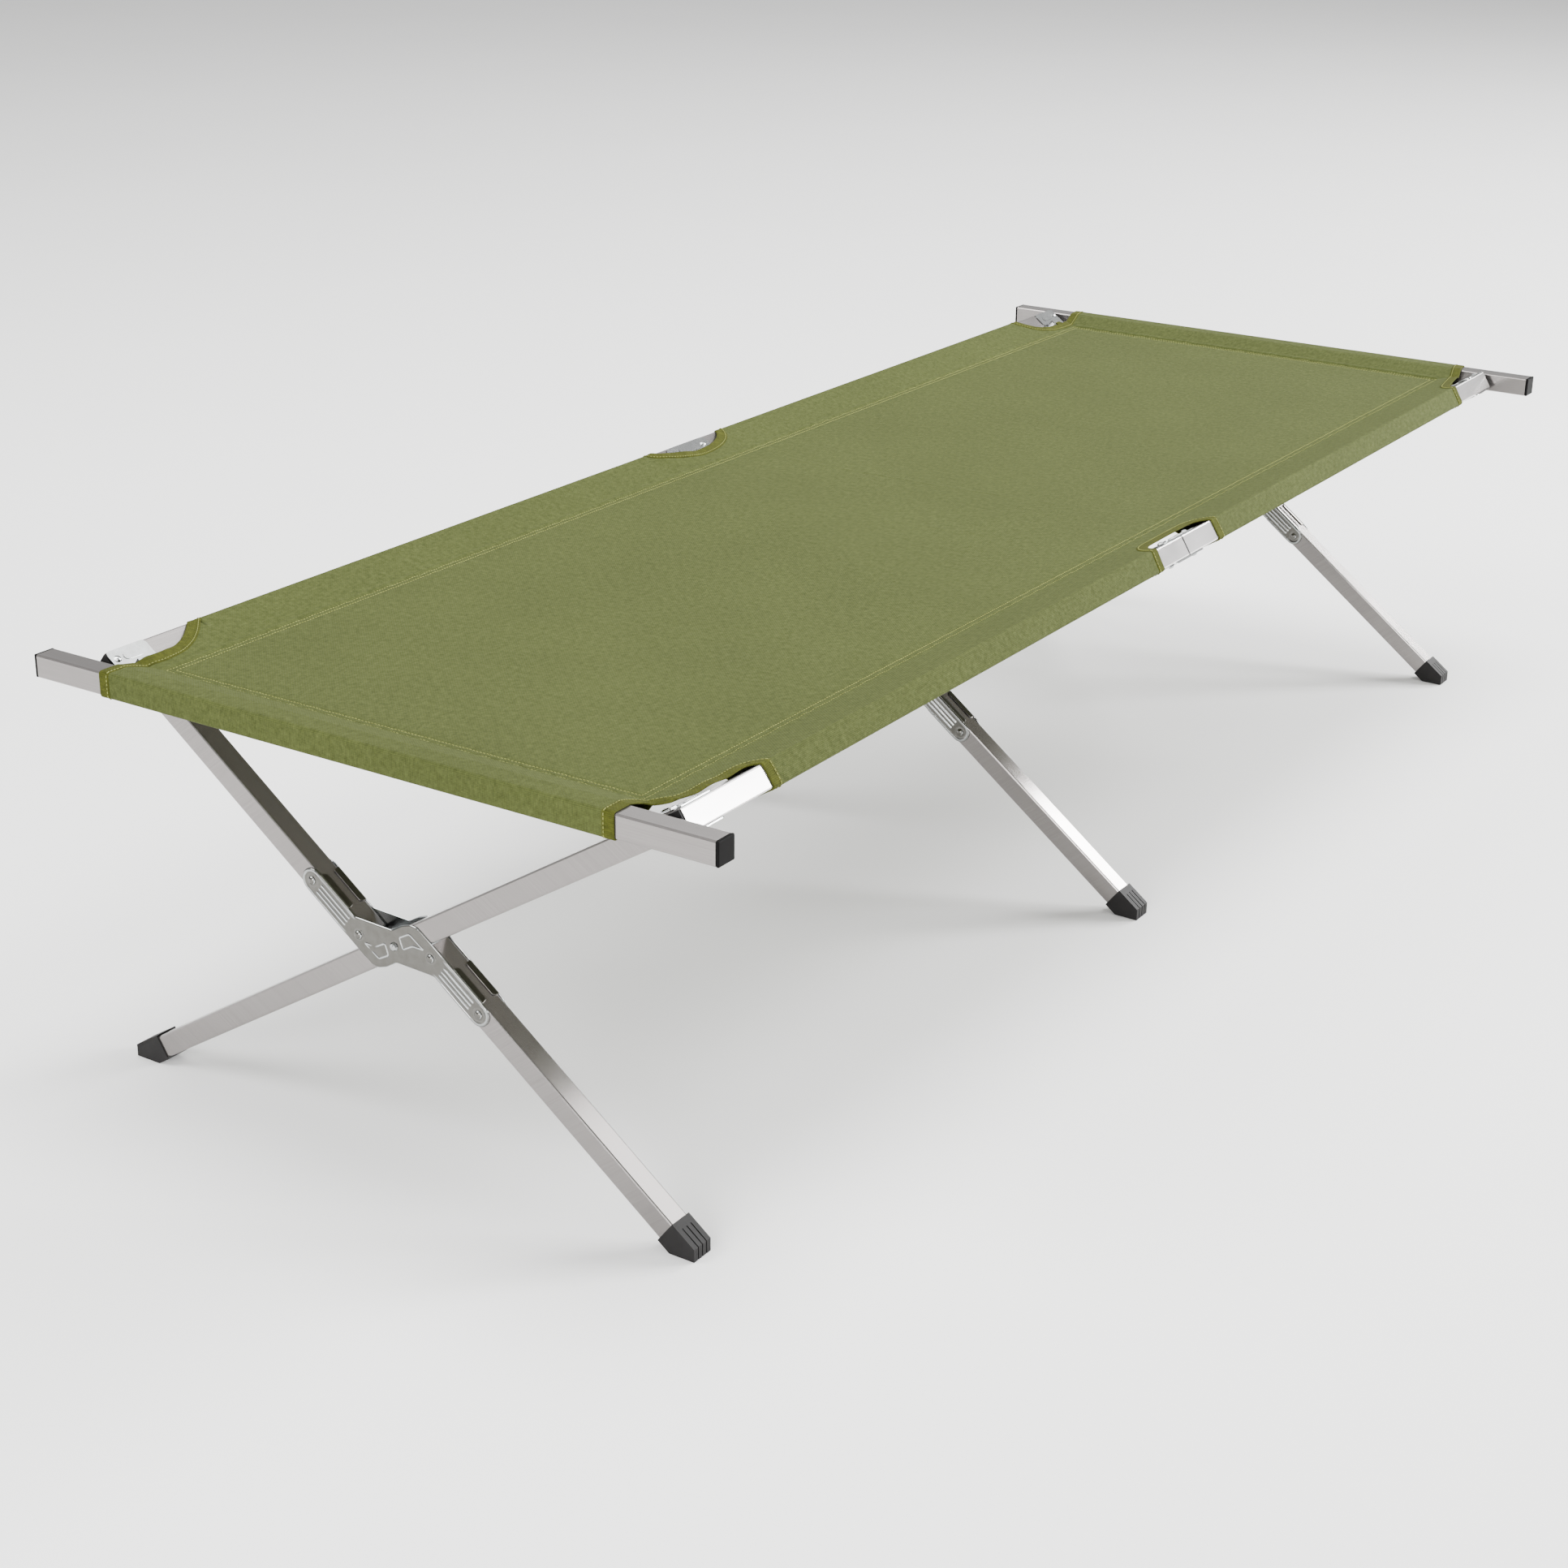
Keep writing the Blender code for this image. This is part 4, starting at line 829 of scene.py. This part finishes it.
@dataclass
class CanvasCover:
    """The canvas with its sleeves, binding tape, hems and stitches."""

    shape: ClothMap = field(default_factory=ClothMap)
    half_thickness: float = 0.5 * MM
    edge_column: float = 350.0 * MM
    steady_column: float = 306.0 * MM
    tape_lift: float = 0.85 * MM
    tape_row: float = 10.6 * MM
    tape_ripple: float = 0.06
    tape_ripple_size: float = 2.1 * MM
    tape_ripple_turns: float = 900.0     # radians in a metre across the bed
    edge_round: float = 9.0 * MM
    edge_step: float = 1.6 * MM
    stitch_pitch: float = 4.2 * MM
    stitch_length: float = 3.0 * MM
    stitch_radius: float = 0.55 * MM
    stitch_lift: float = 0.15 * MM
    tape_stitch_lift: float = 0.25 * MM
    blend_start: Place = (0.10, 0.0, 0.461)
    blend_end: Place = (-0.335, 0.0, 0.461)

    def rows(self) -> Array:
        """The lattice along the cloth, closer round the bars and at the notches.

        Returns:
            Places along, from the near end to the far end.
        """
        s = self.shape
        loop = s.long_at[s.long_at < -s.half_length]
        tail = np.linspace(s.long_at[0], s.long_at[1], 4)
        near = np.r_[tail, loop, filled(loop), np.arange(-1000, -973, 1.5) * MM,
                     np.arange(-972, -885, 3) * MM, -0.8851, np.arange(-880, -110, 8) * MM,
                     np.arange(-108, -82, 4) * MM, -0.0711]
        mid = np.r_[np.arange(-68, 80, 3) * MM, 0.0801, np.arange(84, 116, 4) * MM]
        return spaced(np.r_[near, mid, -near], 0.35 * MM)

    def columns(self, side_at: Array) -> tuple[Array, int]:
        """The lattice across one side, from the middle out round the rail to the hem's end.

        Args:
            side_at: distances of the cross section's own points.

        Returns:
            The distances, and the number of the column that follows the raw edges.
        """
        top = np.r_[np.arange(0, 264, 12), np.arange(264, 288, 4), np.arange(288, 350, 1.5)] * MM
        wrap = np.r_[side_at, filled(side_at[1:])]
        rest = spaced(wrap[wrap > self.edge_column + 2 * MM], 0.3 * MM)
        return np.r_[top, self.edge_column, rest], len(top)

    def side_grid(self, side: int, rows: Array) -> tuple[Array, Array]:
        """Columns of one side at every row, with the edge column drawn to the raw edges.

        Between the steady column and the edge column a keeps its share of the way to the raw
        edge; past it, its share of the way from the raw edge to the hem's end.

        Args:
            side: one for the right, minus one for the left.
            rows: the lattice along.

        Returns:
            Distances from the middle (rows, columns), and whether each cell is cloth.
        """
        s = self.shape
        base, cut = self.columns(s.right_at if side > 0 else s.left_at)
        edge = np.full(len(rows), self.edge_column)
        open_row = np.zeros(len(rows) - 1, bool)
        centre = (rows[1:] + rows[:-1]) / 2
        for one in Edge:
            if one.value[0] != side:
                continue
            line = s.edge(one)
            order = np.argsort(line[:, 1], kind="stable")
            inside = (rows >= line[:, 1].min() - 1e-6) & (rows <= line[:, 1].max() + 1e-6)
            edge = np.where(inside, np.interp(rows, line[order, 1], line[order, 0]), edge)
            open_row |= (centre > line[:, 1].min()) & (centre < line[:, 1].max())
        inner = self.steady_column + (base - self.steady_column) * (
            (edge[:, None] - self.steady_column) / (self.edge_column - self.steady_column))
        outer = edge[:, None] + (base - self.edge_column) * (
            (base[-1] - edge[:, None]) / (base[-1] - self.edge_column))
        grid = np.where(base <= self.edge_column, inner, outer)
        grid = np.where(base <= self.steady_column, base, grid)
        cloth = ~(open_row[:, None] & (np.arange(len(base) - 1) >= cut))
        return grid, cloth

    def sheet(self) -> tuple[bpy.types.Object, float, tuple[float, float]]:
        """Builds the canvas itself.

        Returns:
            The piece, the area of its flat cut, and its flat width and length.
        """
        rows = self.rows()
        right, right_cloth = self.side_grid(1, rows)
        left, left_cloth = self.side_grid(-1, rows)
        a = np.concatenate([-left[:, :0:-1], right], 1)
        b = np.repeat(rows[:, None], a.shape[1], 1)
        cloth = np.concatenate([left_cloth[:, ::-1], right_cloth], 1)
        faces = grid_faces(*a.shape)[cloth]
        a_flat, b_flat = a.ravel(), b.ravel()
        points, normals = self.shape.place(a_flat, b_flat), self.shape.normal(a_flat, b_flat)
        solid, solid_faces, source = thicken(points, normals, faces, self.half_thickness)
        flat = np.stack([a_flat, b_flat], -1)
        piece = mesh_object("canvas_cover", solid, solid_faces, flat[source], CANVAS.make())
        piece.data.materials.append(BACK.make())
        under = np.zeros(len(solid_faces), np.int32)
        under[len(faces):2 * len(faces)] = 1
        piece.data.polygons.foreach_set("material_index", under)
        cells = (a[:-1, 1:] - a[:-1, :-1] + a[1:, 1:] - a[1:, :-1]) / 2 * np.diff(rows)[:, None]
        return piece, float(cells[cloth].sum()), (float(a.max() - a.min()), float(np.ptp(rows)))

    def edge_path(self, one: Edge) -> Array:
        """Follows a raw edge on the flat cut, on to the hem ends that it runs out at.

        Args:
            one: which corner or notch.

        Returns:
            Points (a, b), evenly spaced, from the near end to the far end.
        """
        s, (side, end) = self.shape, one.value
        line = s.edge(one)
        reach = (s.right_at if side > 0 else s.left_at)[-1]
        limit = s.long_at[-1]
        line = line[np.abs(line[:, 1]) < limit]
        first = (line[0, 0], -limit) if end < 0 else (reach, line[0, 1])
        last = (line[-1, 0], limit) if end > 0 else (reach, line[-1, 1])
        return rounded(np.array([first, *line, last]) * [side, 1], self.edge_round, self.edge_step)

    def tape(self, one: Edge) -> bpy.types.Object:
        """Folds binding tape over one raw edge.

        A flat closed section, tape wide and a cloth and two tapes thick, is carried along the
        edge: each of its points goes a distance into the cloth from the edge and a height along
        the cloth's normal there.

        Args:
            one: which corner or notch.

        Returns:
            The tape.
        """
        path = self.edge_path(one)
        side = one.value[0]
        into = np.array([13.0, 10.0, 7.0, 4.0, 1.5, 0.0, -0.9, -1.2]) * MM
        lift = np.array([1.0, 1.0, 1.0, 1.0, 1.05, 1.0, 0.75, 0.3]) * self.tape_lift
        into, lift = np.r_[into, into[::-1]], np.r_[lift, -lift[::-1]]
        at = path[:, None] + inward(path, side)[:, None] * into[:, None]
        wave = (np.sin(lengths(path)[:, None] / self.tape_ripple_size)
                * np.sin(at[..., 0] * self.tape_ripple_turns))
        lift = lift * (1 + self.tape_ripple * wave)
        points = self.shape.place(at[..., 0], at[..., 1]) + (
            self.shape.normal(at[..., 0], at[..., 1]) * lift[..., None])
        faces = bar_faces(len(path), len(into))
        if side > 0:
            faces = faces[:, ::-1]
        flat = np.stack([np.repeat(lengths(path)[:, None], len(into), 1),
                         np.repeat(into[None], len(path), 0)], -1)
        return mesh_object("binding_tape_" + one.name.lower(), points.reshape(-1, 3), faces,
                           flat.reshape(-1, 2), self.tape_finish)

    def tape_stitches(self, one: Edge) -> bpy.types.Object:
        """Sews the tape down along its inner border, on the side that shows.

        Args:
            one: which corner or notch.

        Returns:
            The stitches.
        """
        path = self.edge_path(one)
        return self.stitches("stitches_tape_" + one.name.lower(),
                             path + inward(path, one.value[0]) * self.tape_row,
                             self.tape_lift + self.tape_stitch_lift)

    def stitches(self, name: str, path: Array, lift: float) -> bpy.types.Object:
        """Lays a row of single stitches along a line of the flat cut.

        Each stitch is four square rings, thin at both ends and lifted in the middle.

        Args:
            name: the row's name.
            path: the line's corners (a, b).
            lift: height of the thread's centre above the cloth's middle, or below if negative.

        Returns:
            The row as one piece.
        """
        along = lengths(path)
        count = max(int(along[-1] / self.stitch_pitch), 1)
        centre = (np.arange(count) + 0.5) * along[-1] / count
        offsets = np.array([-0.5, -0.34, 0.34, 0.5]) * self.stitch_length
        size = np.array([0.35, 1.0, 1.0, 0.35]) * self.stitch_radius
        at = centre[:, None] + offsets
        a, b = (np.interp(at, along, path[:, i]) for i in (0, 1))
        points, normals = self.shape.place(a, b), self.shape.normal(a, b)
        way = unit(np.gradient(points, axis=1))
        across = unit(np.cross(normals, way))
        rise = lift + np.sign(lift) * np.array([-0.25, 0.1, 0.1, -0.25]) * MM
        ring = np.radians([45, 135, 225, 315])[:, None]
        centres = points + normals * rise[:, None]
        corners = centres[:, :, None] + size[None, :, None, None] * (
            np.cos(ring) * across[:, :, None] + np.sin(ring) * normals[:, :, None])
        one = np.concatenate([grid_faces(4, 4, closed=True).reshape(-1, 4),
                              [[3, 2, 1, 0]], [[12, 13, 14, 15]]])
        faces = (one[None] + 16 * np.arange(count)[:, None, None]).reshape(-1, 4)
        flat = np.stack([np.repeat(a[..., None], 4, 2), np.repeat(b[..., None], 4, 2)], -1)
        return mesh_object(name, corners.reshape(-1, 3), faces[:, ::-1], flat.reshape(-1, 2),
                           self.thread_finish)

    def seam_lines(self) -> dict[str, Array]:
        """The stitch rows on the sheet.

        Returns:
            Lines of the flat cut, by name.
        """
        s = self.shape
        lines: dict[str, Array] = {}
        for i, row in enumerate((0.0, s.row_gap)):
            a, b = s.side_seam - row, s.end_seam - row
            for side, name in ((1, "right"), (-1, "left")):
                lines[f"{name}_{i}"] = np.array([[side * a, -b], [side * a, b]])
            for end, name in ((-1, "near"), (1, "far")):
                lines[f"{name}_{i}"] = np.array([[-a, end * b], [a, end * b]])
        return lines

    def build(self) -> list[bpy.types.Object]:
        """Returns:
            Every piece made.
        """
        self.tape_finish, self.thread_finish = TAPE.make(), THREAD.make()
        canvas, area, flat = self.sheet()
        trim = [self.tape(one) for one in Edge] + [self.tape_stitches(one) for one in Edge]
        trim += [self.stitches("stitches_" + name, line, self.half_thickness + self.stitch_lift)
                 for name, line in self.seam_lines().items()]
        for piece in (canvas, *trim):
            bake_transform(piece)
        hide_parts("canvas", "rail_sleeve_left_near", "rail_sleeve_left_far",
                    "rail_sleeve_right_near", "rail_sleeve_right_far")
        return [canvas, *trim]


# The pressed joint plates

@dataclass
class Pressing:
    """One stamped joint plate: a rolled rim, ribs, raised beads, domed rivets and folded tabs.

    It is kept in the split leg's own measures: u along the leg, v across it and w out of the
    middle plane of the leg set. Its outer skin is a height over a lattice of u and v, and its
    back is flat.
    """

    face: float = 14.0 * MM
    back: float = 12.85 * MM
    cell: float = 0.8 * MM
    arm: float = 28.0 * MM
    rim_round: float = 2.4 * MM
    rim_step: float = 1.5 * MM
    rivets: tuple[float, float] = (37.5 * MM, 111.5 * MM)
    rivet_foot: float = 0.6 * MM
    rings: tuple[float, float] = (6.0 * MM, 6.9 * MM)
    ring_depth: float = 0.35 * MM
    ring_width: float = 1.1 * MM
    roll_width: float = 2.4 * MM
    roll_depth: float = 0.95 * MM
    band_width: float = 3.0 * MM
    band_slope: float = 1.2 * MM
    band: float = 0.55 * MM
    shoulder: tuple[float, float] = (46.0 * MM, 54.0 * MM)
    rib: float = 0.95 * MM
    rib_rows: tuple[float, ...] = (-5.3 * MM, 0.0, 5.3 * MM)
    rib_span: tuple[float, float] = (56.0 * MM, 99.0 * MM)
    rib_width: float = 1.3 * MM
    panel: tuple[tuple[float, float], ...] = (
        (-1, 14), (5, 27.5), (27, 28.5), (15.5, 20.5), (9.5, 7))      # corners (u, v) in mm
    panel_round: float = 1.8 * MM
    panel_step: float = 0.9 * MM
    bead: float = 0.8 * MM
    bead_width: float = 0.85 * MM
    bead_break: tuple[float, float] = (17.5 * MM, 2.2 * MM)
    tab_start: float = 62.5 * MM
    tab_end: float = 107.0 * MM
    tab_round: float = 3.0 * MM
    tab_root: float = 12.0 * MM
    # where the painted highlight starts, how fast it ramps up and where it stops, off the flat face
    bright_from: float = 0.3 * MM
    bright_ramp: float = 0.5 * MM
    bright_to: float = 1.5 * MM

    def outline(self) -> Array:
        """The plate's rim: one half drawn, the other the same turned half round.

        Returns:
            Its points (u, v).
        """
        turn = np.radians(np.linspace(80, -80, 9))
        tip = np.stack([111.5 + 13 * np.cos(turn), 28 + 13.4 * np.sin(turn)], -1)
        half = np.array([(-52, -15), (-12, 13), (-6.5, 27.5), (0, 37), (7, 41), (29, 41.7),
                         (108, 41.4), *tip, (108, 14.6)])
        whole = np.concatenate([half, -half]) * MM
        return rounded(whole, self.rim_round, self.rim_step, closed=True)

    def heights(self, at: Array, depth: Array) -> Array:
        """The outer skin over the plate's own plane.

        The rim is a quarter ellipse with a low band inside it, which is lower between the
        shoulders. Each arm has three ribs, bell curves round a line. A bead, a bell curve round
        a loop, marks the panel on each side of the axis, broken in two places on one of them.
        Every rivet sits in a shallow ring.

        Args:
            at: n × 2 places (u, v).
            depth: distances in from the rim.

        Returns:
            Heights w.
        """
        u, side = np.abs(at[:, 0]), np.where(at[:, 0] < 0, -1.0, 1.0)
        v = at[:, 1] * side
        out = 1 - np.clip(depth / self.roll_width, 0, 1)
        height = self.face - self.roll_depth * (1 - np.sqrt(1 - out ** 2))
        within = np.clip((depth - self.band_width) / self.band_slope, 0, 1)
        start, full = self.shoulder
        strong = 0.3 + 0.7 * np.clip((u - start) / (full - start), 0, 1)
        height += self.band * strong * (1 - within ** 2 * (3 - 2 * within))
        for row in self.rib_rows:
            off = np.hypot(u - np.clip(u, *self.rib_span), v - self.arm - row)
            height += self.rib * bell(off, self.rib_width)
        panel = rounded(np.array(self.panel) * MM, self.panel_round, self.panel_step, closed=True)
        place, reach = self.bead_break
        for way in (1, -1):
            off, foot, _ = nearest(at * way, panel)
            broken = 1.0 if way > 0 else 1 - bell(foot[:, 0] - place, reach)
            height += self.bead * broken * bell(off, self.bead_width)
        for place, ring in zip(self.rivets, self.rings):
            off = np.hypot(u - place, v - self.arm)
            height -= self.ring_depth * bell(off - ring, self.ring_width)
        return height

    def raised(self, w: Array) -> Array:
        """Marks the slopes where the skin leaves the plate's flat face, not the folded tabs or
        heads, for the painted highlight.

        Args:
            w: heights over the middle plane.

        Returns:
            One where it does, with a short ramp from zero.
        """
        off = np.abs(w - self.face)
        ramp = np.clip((off - self.bright_from) / self.bright_ramp, 0, 1)
        return np.where(off < self.bright_to, ramp, 0.0)

    def skin(self) -> tuple[Array, Array]:
        """Cuts the lattice to the outline: whole cells inside it, with their rim pulled onto it.

        Returns:
            Points (u, v, w) and faces of the whole plate without tabs and rivets.
        """
        loop = self.outline()
        low, high = loop.min(0) - self.cell, loop.max(0) + self.cell
        u, v = (np.arange(a, b, self.cell) for a, b in zip(low, high))
        at = np.stack(np.meshgrid(u, v, indexing="ij"), -1).reshape(-1, 2)
        faces = grid_faces(len(u), len(v)).reshape(-1, 4)[:, ::-1]
        faces = faces[nearest(at[faces].mean(1), loop)[2]]
        used, packed = np.unique(faces, return_inverse=True)
        at, faces = at[used], packed.reshape(-1, 4)
        on_rim = np.isin(np.arange(len(at)), rim_edges(faces))
        depth, foot, _ = nearest(at, loop)
        at, depth = np.where(on_rim[:, None], foot, at), np.where(on_rim, 0.0, depth)
        top = np.column_stack([at, self.heights(at, depth)])
        bottom = np.column_stack([at, np.full(len(at), self.back)])
        return np.concatenate([top, bottom]), plate_faces(faces, len(at))

    def dome(self, u: float, v: float, radius: float, height: float) -> tuple[Array, Array]:
        """Turns a rivet's head: a half ellipse on a short upright foot, round its own axis.

        Args:
            u: the axis's place along the leg.
            v: its place across the leg.
            radius: the head's radius.
            height: how far it stands over the plate.

        Returns:
            Points and faces.
        """
        rise = np.radians(np.linspace(0, 88, 8))
        out = np.r_[1.0, np.cos(rise)] * radius
        up = np.r_[-self.rivet_foot, np.sin(rise) * height]
        turn = np.radians(np.arange(24) * 15)
        points = np.stack([u + out[:, None] * np.cos(turn), v + out[:, None] * np.sin(turn),
                           np.repeat(self.face + up[:, None], 24, 1)], -1)
        return points.reshape(-1, 3), grid_faces(9, 24, closed=True).reshape(-1, 4)[:, ::-1]

    def tab(self, way: int, side: int) -> tuple[Array, Array]:
        """Folds one tab: a section from the plate's face round its edge and back along the leg.

        The section is carried along the leg, and its depth falls away in a quarter circle at
        both ends.

        Args:
            way: one for the lower arm, minus one for the upper one.
            side: one for the tab on the far side of the leg's middle line, minus one for the near.

        Returns:
            Points and faces.
        """
        out = np.array([10.4, 11.8, 12.9, 13.55, 13.9, 14.0, 14.0, 14.0, 13.7, 12.95, 12.85, 12.85,
                        12.85, 12.85, 12.8, 12.6, 12.0, 10.4]) * MM
        up = np.array([14.6, 14.5, 14.2, 13.6, 12.8, 12.0, 9.5, 5.4, 5.0, 5.0, 5.4, 9.5, 12.0,
                       12.3, 12.8, 13.0, 13.2, 13.4]) * MM
        middle, half = (self.tab_start + self.tab_end) / 2, (self.tab_end - self.tab_start) / 2
        u = middle + half * np.sin(np.radians(np.linspace(-90, 90, 25)))
        past = np.clip((np.abs(u - middle) - half + self.tab_round) / self.tab_round, 0, 0.999)
        full = np.sqrt(1 - past ** 2)[:, None]
        w = np.where(up < self.tab_root, self.tab_root - (self.tab_root - up) * full, up + 0 * full)
        v = np.broadcast_to(self.arm + side * out, w.shape)
        points = np.stack([np.broadcast_to(u[:, None], w.shape), v, w], -1) * [way, way, 1]
        faces = bar_faces(len(u), len(out))
        return points.reshape(-1, 3), faces if side > 0 else faces[:, ::-1]

    def whole(self, head: float, rise: float) -> tuple[Array, Array]:
        """Puts the skin, four tabs and four rivet heads together.

        Args:
            head: the rivet heads' radius.
            rise: their height.

        Returns:
            Points (u, v, w) and faces.
        """
        parts = [self.skin()]
        parts += [self.tab(way, side) for way in (1, -1) for side in (1, -1)]
        parts += [self.dome(way * u, way * self.arm, head, rise)
                  for way in (1, -1) for u in self.rivets]
        starts = np.cumsum([0] + [len(points) for points, _ in parts[:-1]])
        return (np.concatenate([points for points, _ in parts]),
                np.concatenate([faces + start for (_, faces), start in zip(parts, starts)]))


@dataclass
class JointPlates:
    """The six pressed plates, a front one and a rear one on each leg set.

    Each side has its direction along the bed, and its rivet heads' radius and height.
    """

    pressing: Pressing = field(default_factory=Pressing)
    pivot_height: float = 236.0 * MM
    lean: float = 37.2
    sides: dict[str, tuple[int, float, float]] = field(default_factory=lambda: {
        "front": (-1, 4.6 * MM, 2.7 * MM), "rear": (1, 4.0 * MM, 2.2 * MM)})
    leg_sets: dict[str, float] = field(default_factory=lambda: {
        "near": -985.0 * MM, "mid": -45.0 * MM, "far": 985.0 * MM})

    def build(self) -> list[bpy.types.Object]:
        """Places the pressing in the room for each plate, mirrored for the rear ones.

        Returns:
            The plates.
        """
        lean, plates = math.radians(self.lean), []
        finish = ZincPlate("pressed_zinc_plate", "#706f6c", "#57554f").make()
        for name, (way, head, rise) in self.sides.items():
            points, faces = self.pressing.whole(head, rise)
            u, v, w = points.T
            faces, raised = faces if way < 0 else faces[:, ::-1], self.pressing.raised(w)
            for place, y in self.leg_sets.items():
                room = np.stack([u * math.cos(lean) + v * math.sin(lean), y + way * w,
                                 self.pivot_height - u * math.sin(lean) + v * math.cos(lean)], -1)
                plate = mesh_object(f"pressed_plate_{name}_{place}", room, faces, None, finish)
                # the raised mark tells the plate's material where to paint its highlight
                mark = plate.data.attributes.new("raised", "FLOAT", "POINT")
                mark.data.foreach_set("value", raised)
                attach(plate, "left_frame")
                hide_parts(f"joint_plate_{name}_{place}")
                plates.append(plate)
        return plates


# The CAD pieces

@dataclass
class Metalwork:
    """The aluminium tubes, zinc-plated fittings and plastic ends that come from the CAD.

    The right rail is paler than the other tubes: a painted highlight for the light that it
    catches from the right.
    """

    tubes: dict[str, SatinAluminium] = field(default_factory=lambda: {
        "rail_left_": SatinAluminium(Along.LENGTH),
        # painted highlight: the paler colour stands in for the light that falls on the right rail
        "rail_right_": SatinAluminium(Along.LENGTH, "#cfcdcc", "#b8b6b5"),
        "end_bar_": SatinAluminium(Along.WIDTH),
        "long_leg_": SatinAluminium(Along.LONG_LEG),
        "split_leg_": SatinAluminium(Along.SPLIT_LEG)})
    fittings: tuple[str, ...] = ("rail_strap_", "end_plates_", "leg_bracket_", "joint_plate_",
                                 "scissor_axle_")
    plastic: dict[str, MouldedPlastic] = field(default_factory=lambda: {
        "foot_": MouldedPlastic(),
        "end_stud_": MouldedPlastic("stud_plastic"),
        "bar_plug_": MouldedPlastic("dull_plug_plastic", "#080808", "#100f0f", gloss=0.035)})

    def dress(self) -> int:
        """Gives every CAD node its finish.

        Returns:
            How many nodes were dressed.
        """
        finishes = {name: recipe.make() for name, recipe in (self.tubes | self.plastic).items()}
        finishes |= dict.fromkeys(self.fittings, ZincPlate().make())
        dressed = 0
        for name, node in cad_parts.items():
            for start, finish in finishes.items():
                if name.startswith(start):
                    node.data.materials.clear()
                    node.data.materials.append(finish)
                    dressed += 1
        return dressed


# The studio

@dataclass
class Studio:
    """A pale floor, soft lights and the camera of the photograph.

    Each light is a disk with its place, its diameter and its power, turned to a point low over
    the middle of the floor.
    """

    camera_place: Place = (1.64047, -2.80172, 1.39130)
    camera_turn: Place = (1.185163, -0.009710, 0.583780)
    lens: float = 61.74
    sensor: float = 36.0
    floor_size: float = 30.0
    floor_drop: float = 0.5 * MM
    cloud_size: float = 667 * MM
    world: float = 0.62
    aim: Place = (0.0, 0.0, 0.3)
    lights: dict[str, tuple[Place, float, float]] = field(default_factory=lambda: {
        "zenith": ((0.0, 0.0, 5.5), 3.0, 380.0),
        "overhead": ((0.2, 2.2, 4.6), 2.0, 45.0),
        "back_high": ((4.1, 6.75, 7.0), 4.6, 420.0),
        "back_low": ((2.76, 7.4, 4.4), 1.9, 750.0),
        "right": ((5.5, 4.5, 2.0), 2.6, 860.0),
        "back_left": ((-4.1, 5.8, 4.1), 2.4, 18.0),
        "left_key": ((-4.3, -5.3, 5.5), 4.4, 560.0),
        "front": ((1.0, -5.4, 1.5), 2.8, 290.0)})

    def build(self) -> None:
        """Makes the floor, the lights, the world and the camera."""
        self.floor()
        for name, (place, size, power) in self.lights.items():
            data = bpy.data.lights.new(name, "AREA")
            data.shape, data.size, data.energy = "DISK", size, power
            lamp = bpy.data.objects.new(name, data)
            lamp.location = place
            way = np.array(self.aim) - place
            lamp.rotation_euler = (math.acos(-way[2] / np.linalg.norm(way)), 0,
                                   math.atan2(way[1], way[0]) - math.pi / 2)
            bpy.context.scene.collection.objects.link(lamp)
        world = bpy.data.worlds.new("white_studio")
        world.use_nodes = True
        back = world.node_tree.nodes["Background"]
        back.inputs[0].default_value = linear("#ffffff")
        back.inputs[1].default_value = self.world
        bpy.context.scene.world = world
        data = bpy.data.cameras.new("photo_camera")
        data.lens, data.sensor_width = self.lens, self.sensor
        camera = bpy.data.objects.new("photo_camera", data)
        camera.location, camera.rotation_euler = self.camera_place, self.camera_turn
        bpy.context.scene.collection.objects.link(camera)
        bpy.context.scene.camera = camera

    def floor(self) -> None:
        """Makes the matt white floor, one quad below the soles."""
        half = self.floor_size / 2
        points = np.array([[-half, -half, 0], [half, -half, 0], [half, half, 0], [-half, half, 0]])
        points[:, 2] -= self.floor_drop
        recipe = Recipe("matt_white_floor")
        place = recipe.add("TexCoord", out="Object")
        cloud = recipe.add("TexNoise", {"Vector": place, "Scale": 1 / self.cloud_size})
        tone = recipe.add("Mix", {0: cloud, 6: linear("#f4f4f3"), 7: linear("#f8f8f7")}, 2,
                          data_type="RGBA")
        finish = recipe.finish({"Base Color": tone, "Roughness": 0.9})
        quad = np.array([[0, 1, 2, 3]])
        mesh_object("studio_floor", points, quad, None, finish, smooth=False)


def main() -> None:
    """Builds the classes in order and reports each piece."""
    logging.basicConfig(level=logging.INFO, format="%(name)s: %(message)s")
    log.info("metalwork: %d CAD nodes dressed", Metalwork().dress())
    for piece in JointPlates().build():
        log.info("joint plate: %s, %d faces", piece.name, len(piece.data.polygons))
    for piece in CanvasCover().build():
        log.info("cloth: %s, %d faces", piece.name, len(piece.data.polygons))
    Studio().build()
    log.info("studio ready")


if __name__ == "__main__":
    main()
